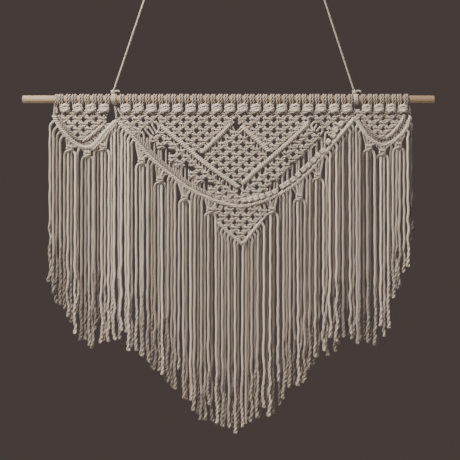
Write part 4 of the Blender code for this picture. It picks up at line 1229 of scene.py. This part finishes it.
class MACRAME_OT_nets(bpy.types.Operator):
    """Ties the nets of alternating square knots, and the single strands beside them"""

    bl_idname = "macrame.nets"
    bl_label = "Nets"

    def execute(self, context):
        for name, (pitch, row, _) in NETS.items():
            node = f"panel_{name}"
            bars = [*BARS.get(name, [SWAGS["main"]]), SWAGS[name]]
            rows = net_rows(name, bars)
            skein = Skein(f"legs {name}")
            tie_off(skein, [line[:2] for line in rows], bars, pitch, row)
            settle(f"net_legs_{name}", skein.mesh(), laid_cords, node)
            bare = [line for line in rows if by_a_hole(*line[:2], pitch, row)]
            if bare:
                tie(f"net_bare_{name}", square_knot(legs=False), bare, node, NET_CORD)
            tie(f"net_{name}", square_knot(), [line for line in rows if line not in bare], node, NET_CORD)

        bar, border = Route(SWAGS["main"]), []
        for x, z in BORDER_RIGHT:
            way = bar.way(bar.distance_at_x(x))
            border.append((x, z, 2.6, -math.degrees(math.atan2(way.y, way.x)), *BORDER_KNOT))
        tie("border_knots", berry_knot(), border, "panel_main", {"Diameter": 2.7 * MM})

        for name in ("main", "left", "right"):
            skein = Skein(f"panel_{name}")
            if name == "main":
                hang_wings(skein)
                fill_bands(skein)
                for line in LEANING:
                    skein.lay(lifted(line, 1.0), LEANING_SIZE, tone=-0.5)
            for line in SIDES[name]:
                skein.lay(lifted(line, 0.0))
            if name == "main":
                edge_border(skein)
            else:
                if name == "left":
                    carry_edge(skein)
                cross_strands(skein, name)
            settle(f"loose_strands_{name}", skein.mesh(), laid_cords, f"panel_{name}")
        return {"FINISHED"}


class MACRAME_OT_bars(bpy.types.Operator):
    """Wraps the half-hitch bars"""

    bl_idname = "macrame.bars"
    bl_label = "Half-hitch bars"

    def execute(self, context):
        wide_left, wide_right, upturned_left, upturned_right = BARS["main"]
        (left_a, left_b), (right_a, right_b) = halves(BARS["left"][0]), halves(BARS["right"][0])
        left, right, (main_a, main_b) = SWAGS["left"], SWAGS["right"], halves(SWAGS["main"])
        crest_left = [*left[-2:], CRESTS["left"], *main_a[:2]]
        crest_right = [*main_b[-2:], CRESTS["right"], *right[:2]]
        route = Route(left)
        outer = route.evenly(12, -DOUBLE_DROP, route.distance_at_x(DOUBLE_FROM) / route.length)
        # Each bar's name, line, node, half width, cord diameter, height above the cloth, and tone.
        # The legs of the Vs get lighter tones as painted light, most where they run down to the right, along
        # the key light; the shaded halves of the small swags' inner bars get a darker tone as painted shade.
        for row in (
            ("wide_v_left", wide_left, "panel_main", 2.6, 3.0, 3.3, -1.7),
            ("wide_v_right", wide_right, "panel_main", 2.4, 3.0, 2.6, -0.8),
            ("upturned_v_left", upturned_left, "panel_main", 2.2, 3.0, 2.6, -0.8),
            ("upturned_v_right", upturned_right, "panel_main", 2.8, 3.0, 4.0, -1.7),
            ("bars_left_shaded", left_a, "panel_left", 1.4, 3.5, 1.8, 0.8),
            ("bars_left", left_b, "panel_left", 1.5, 3.5, 1.8, -0.4),
            ("bars_right_shaded", right_a, "panel_right", 1.4, 3.5, 1.8, 0.8),
            ("bars_right", right_b, "panel_right", 1.5, 3.5, 1.8, -0.4),
            ("swag_bar_left", left, "fringe_left", 2.2, 3.4, 1.8, -0.7),
            ("swag_bar_main_left", main_a, "fringe_main", 2.0, 3.3, 1.8, -0.7),
            ("swag_bar_main_right", main_b, "fringe_main", 1.9, 3.2, 1.8, -0.7),
            ("swag_bar_right", right, "fringe_right", 1.9, 3.4, 1.8, -0.7),
            ("swag_bar_point", SWAGS["point"], "fringe_point", 1.6, 3.2, 1.8, -0.7),
            ("crest_left", crest_left, "fringe_left", 2.4, 3.4, 2.2, -0.7),
            ("crest_right", crest_right, "fringe_right", 2.4, 3.4, 2.2, -0.7),
            ("swag_bar_left_outer", outer, "fringe_left", 1.7, 3.2, 1.8, -0.7),
        ):
            wrap_bar(*row)
        return {"FINISHED"}


class MACRAME_OT_fringes(bpy.types.Operator):
    """Hangs the strands of every swag"""

    bl_idname = "macrame.fringes"
    bl_label = "Fringes"

    def execute(self, context):
        for name in SWAGS:
            hang_fringe(name)
        return {"FINISHED"}


class MACRAME_OT_stage(bpy.types.Operator):
    """Sets the floor, the lights and the camera"""

    bl_idname = "macrame.stage"
    bl_label = "Stage"

    def execute(self, context):
        scene = context.scene
        bpy.ops.mesh.primitive_circle_add(vertices=96, radius=1.1, fill_type="NGON", location=(0, 0.1, -1.12))
        floor = context.object
        floor.name = "floor"
        floor.data.materials.append(material("pale matte floor", matte_floor, "#cfcbc6"))

        middle = Vector((0, 0, -0.42))
        for name, place, size, power, tint in (
            ("key", (-0.95, -1.05, 0.92), 0.6, 74.0, "#fff6ec"),
            ("fill", (1.9, -1.6, -0.1), 1.8, 14.0, "#f1f4ff"),
            ("rim", (-0.4, 1.5, 0.9), 1.4, 20.0, "#ffffff"),
        ):
            data = bpy.data.lights.new(name, "AREA")
            data.energy, data.size, data.color = power, size, colour(tint)[:3]
            light = add_object(name, data)
            light.location = place
            light.rotation_euler = (middle - Vector(place)).to_track_quat("-Z", "Y").to_euler()

        surroundings = bpy.data.worlds.new("studio")
        scene.world = surroundings
        surroundings.use_nodes = True
        back = surroundings.node_tree.nodes["Background"]
        back.inputs["Color"].default_value = colour("#4a413e")
        back.inputs["Strength"].default_value = 1.0

        data = bpy.data.cameras.new("camera")
        distance, seen = 2.6, 0.736
        data.lens = data.sensor_width * distance / seen
        camera = scene.camera = add_object("camera", data)
        camera.location = (-0.00725, -distance, -0.4211)
        camera.rotation_euler = (math.radians(90), 0, 0)
        return {"FINISHED"}


class MACRAME_PT_panel(bpy.types.Panel):
    """Lists the pieces of the hanging"""

    bl_label = "Macrame"
    bl_idname = "MACRAME_PT_panel"
    bl_space_type = "VIEW_3D"
    bl_region_type = "UI"
    bl_category = "Macrame"

    def draw(self, context):
        for group in ("macrame_cord", "macrame_dowel"):
            settings = getattr(context.scene, group)
            for key in settings.__annotations__:
                self.layout.prop(settings, key)
        for operator in STEPS:
            self.layout.operator(operator.bl_idname)


STEPS = [
    MACRAME_OT_stage,
    MACRAME_OT_hanger,
    MACRAME_OT_dowel,
    MACRAME_OT_headings,
    MACRAME_OT_nets,
    MACRAME_OT_bars,
    MACRAME_OT_fringes,
]
CLASSES = [CordSettings, DowelSettings, *STEPS, MACRAME_PT_panel]


def register():
    for item in CLASSES:
        bpy.utils.register_class(item)
    bpy.types.Scene.macrame_cord = PointerProperty(type=CordSettings)
    bpy.types.Scene.macrame_dowel = PointerProperty(type=DowelSettings)


def unregister():
    del bpy.types.Scene.macrame_cord
    del bpy.types.Scene.macrame_dowel
    for item in reversed(CLASSES):
        bpy.utils.unregister_class(item)


def main():
    register()
    for step in STEPS:
        group, _, name = step.bl_idname.partition(".")
        getattr(getattr(bpy.ops, group), name)()


if __name__ == "__main__":
    main()
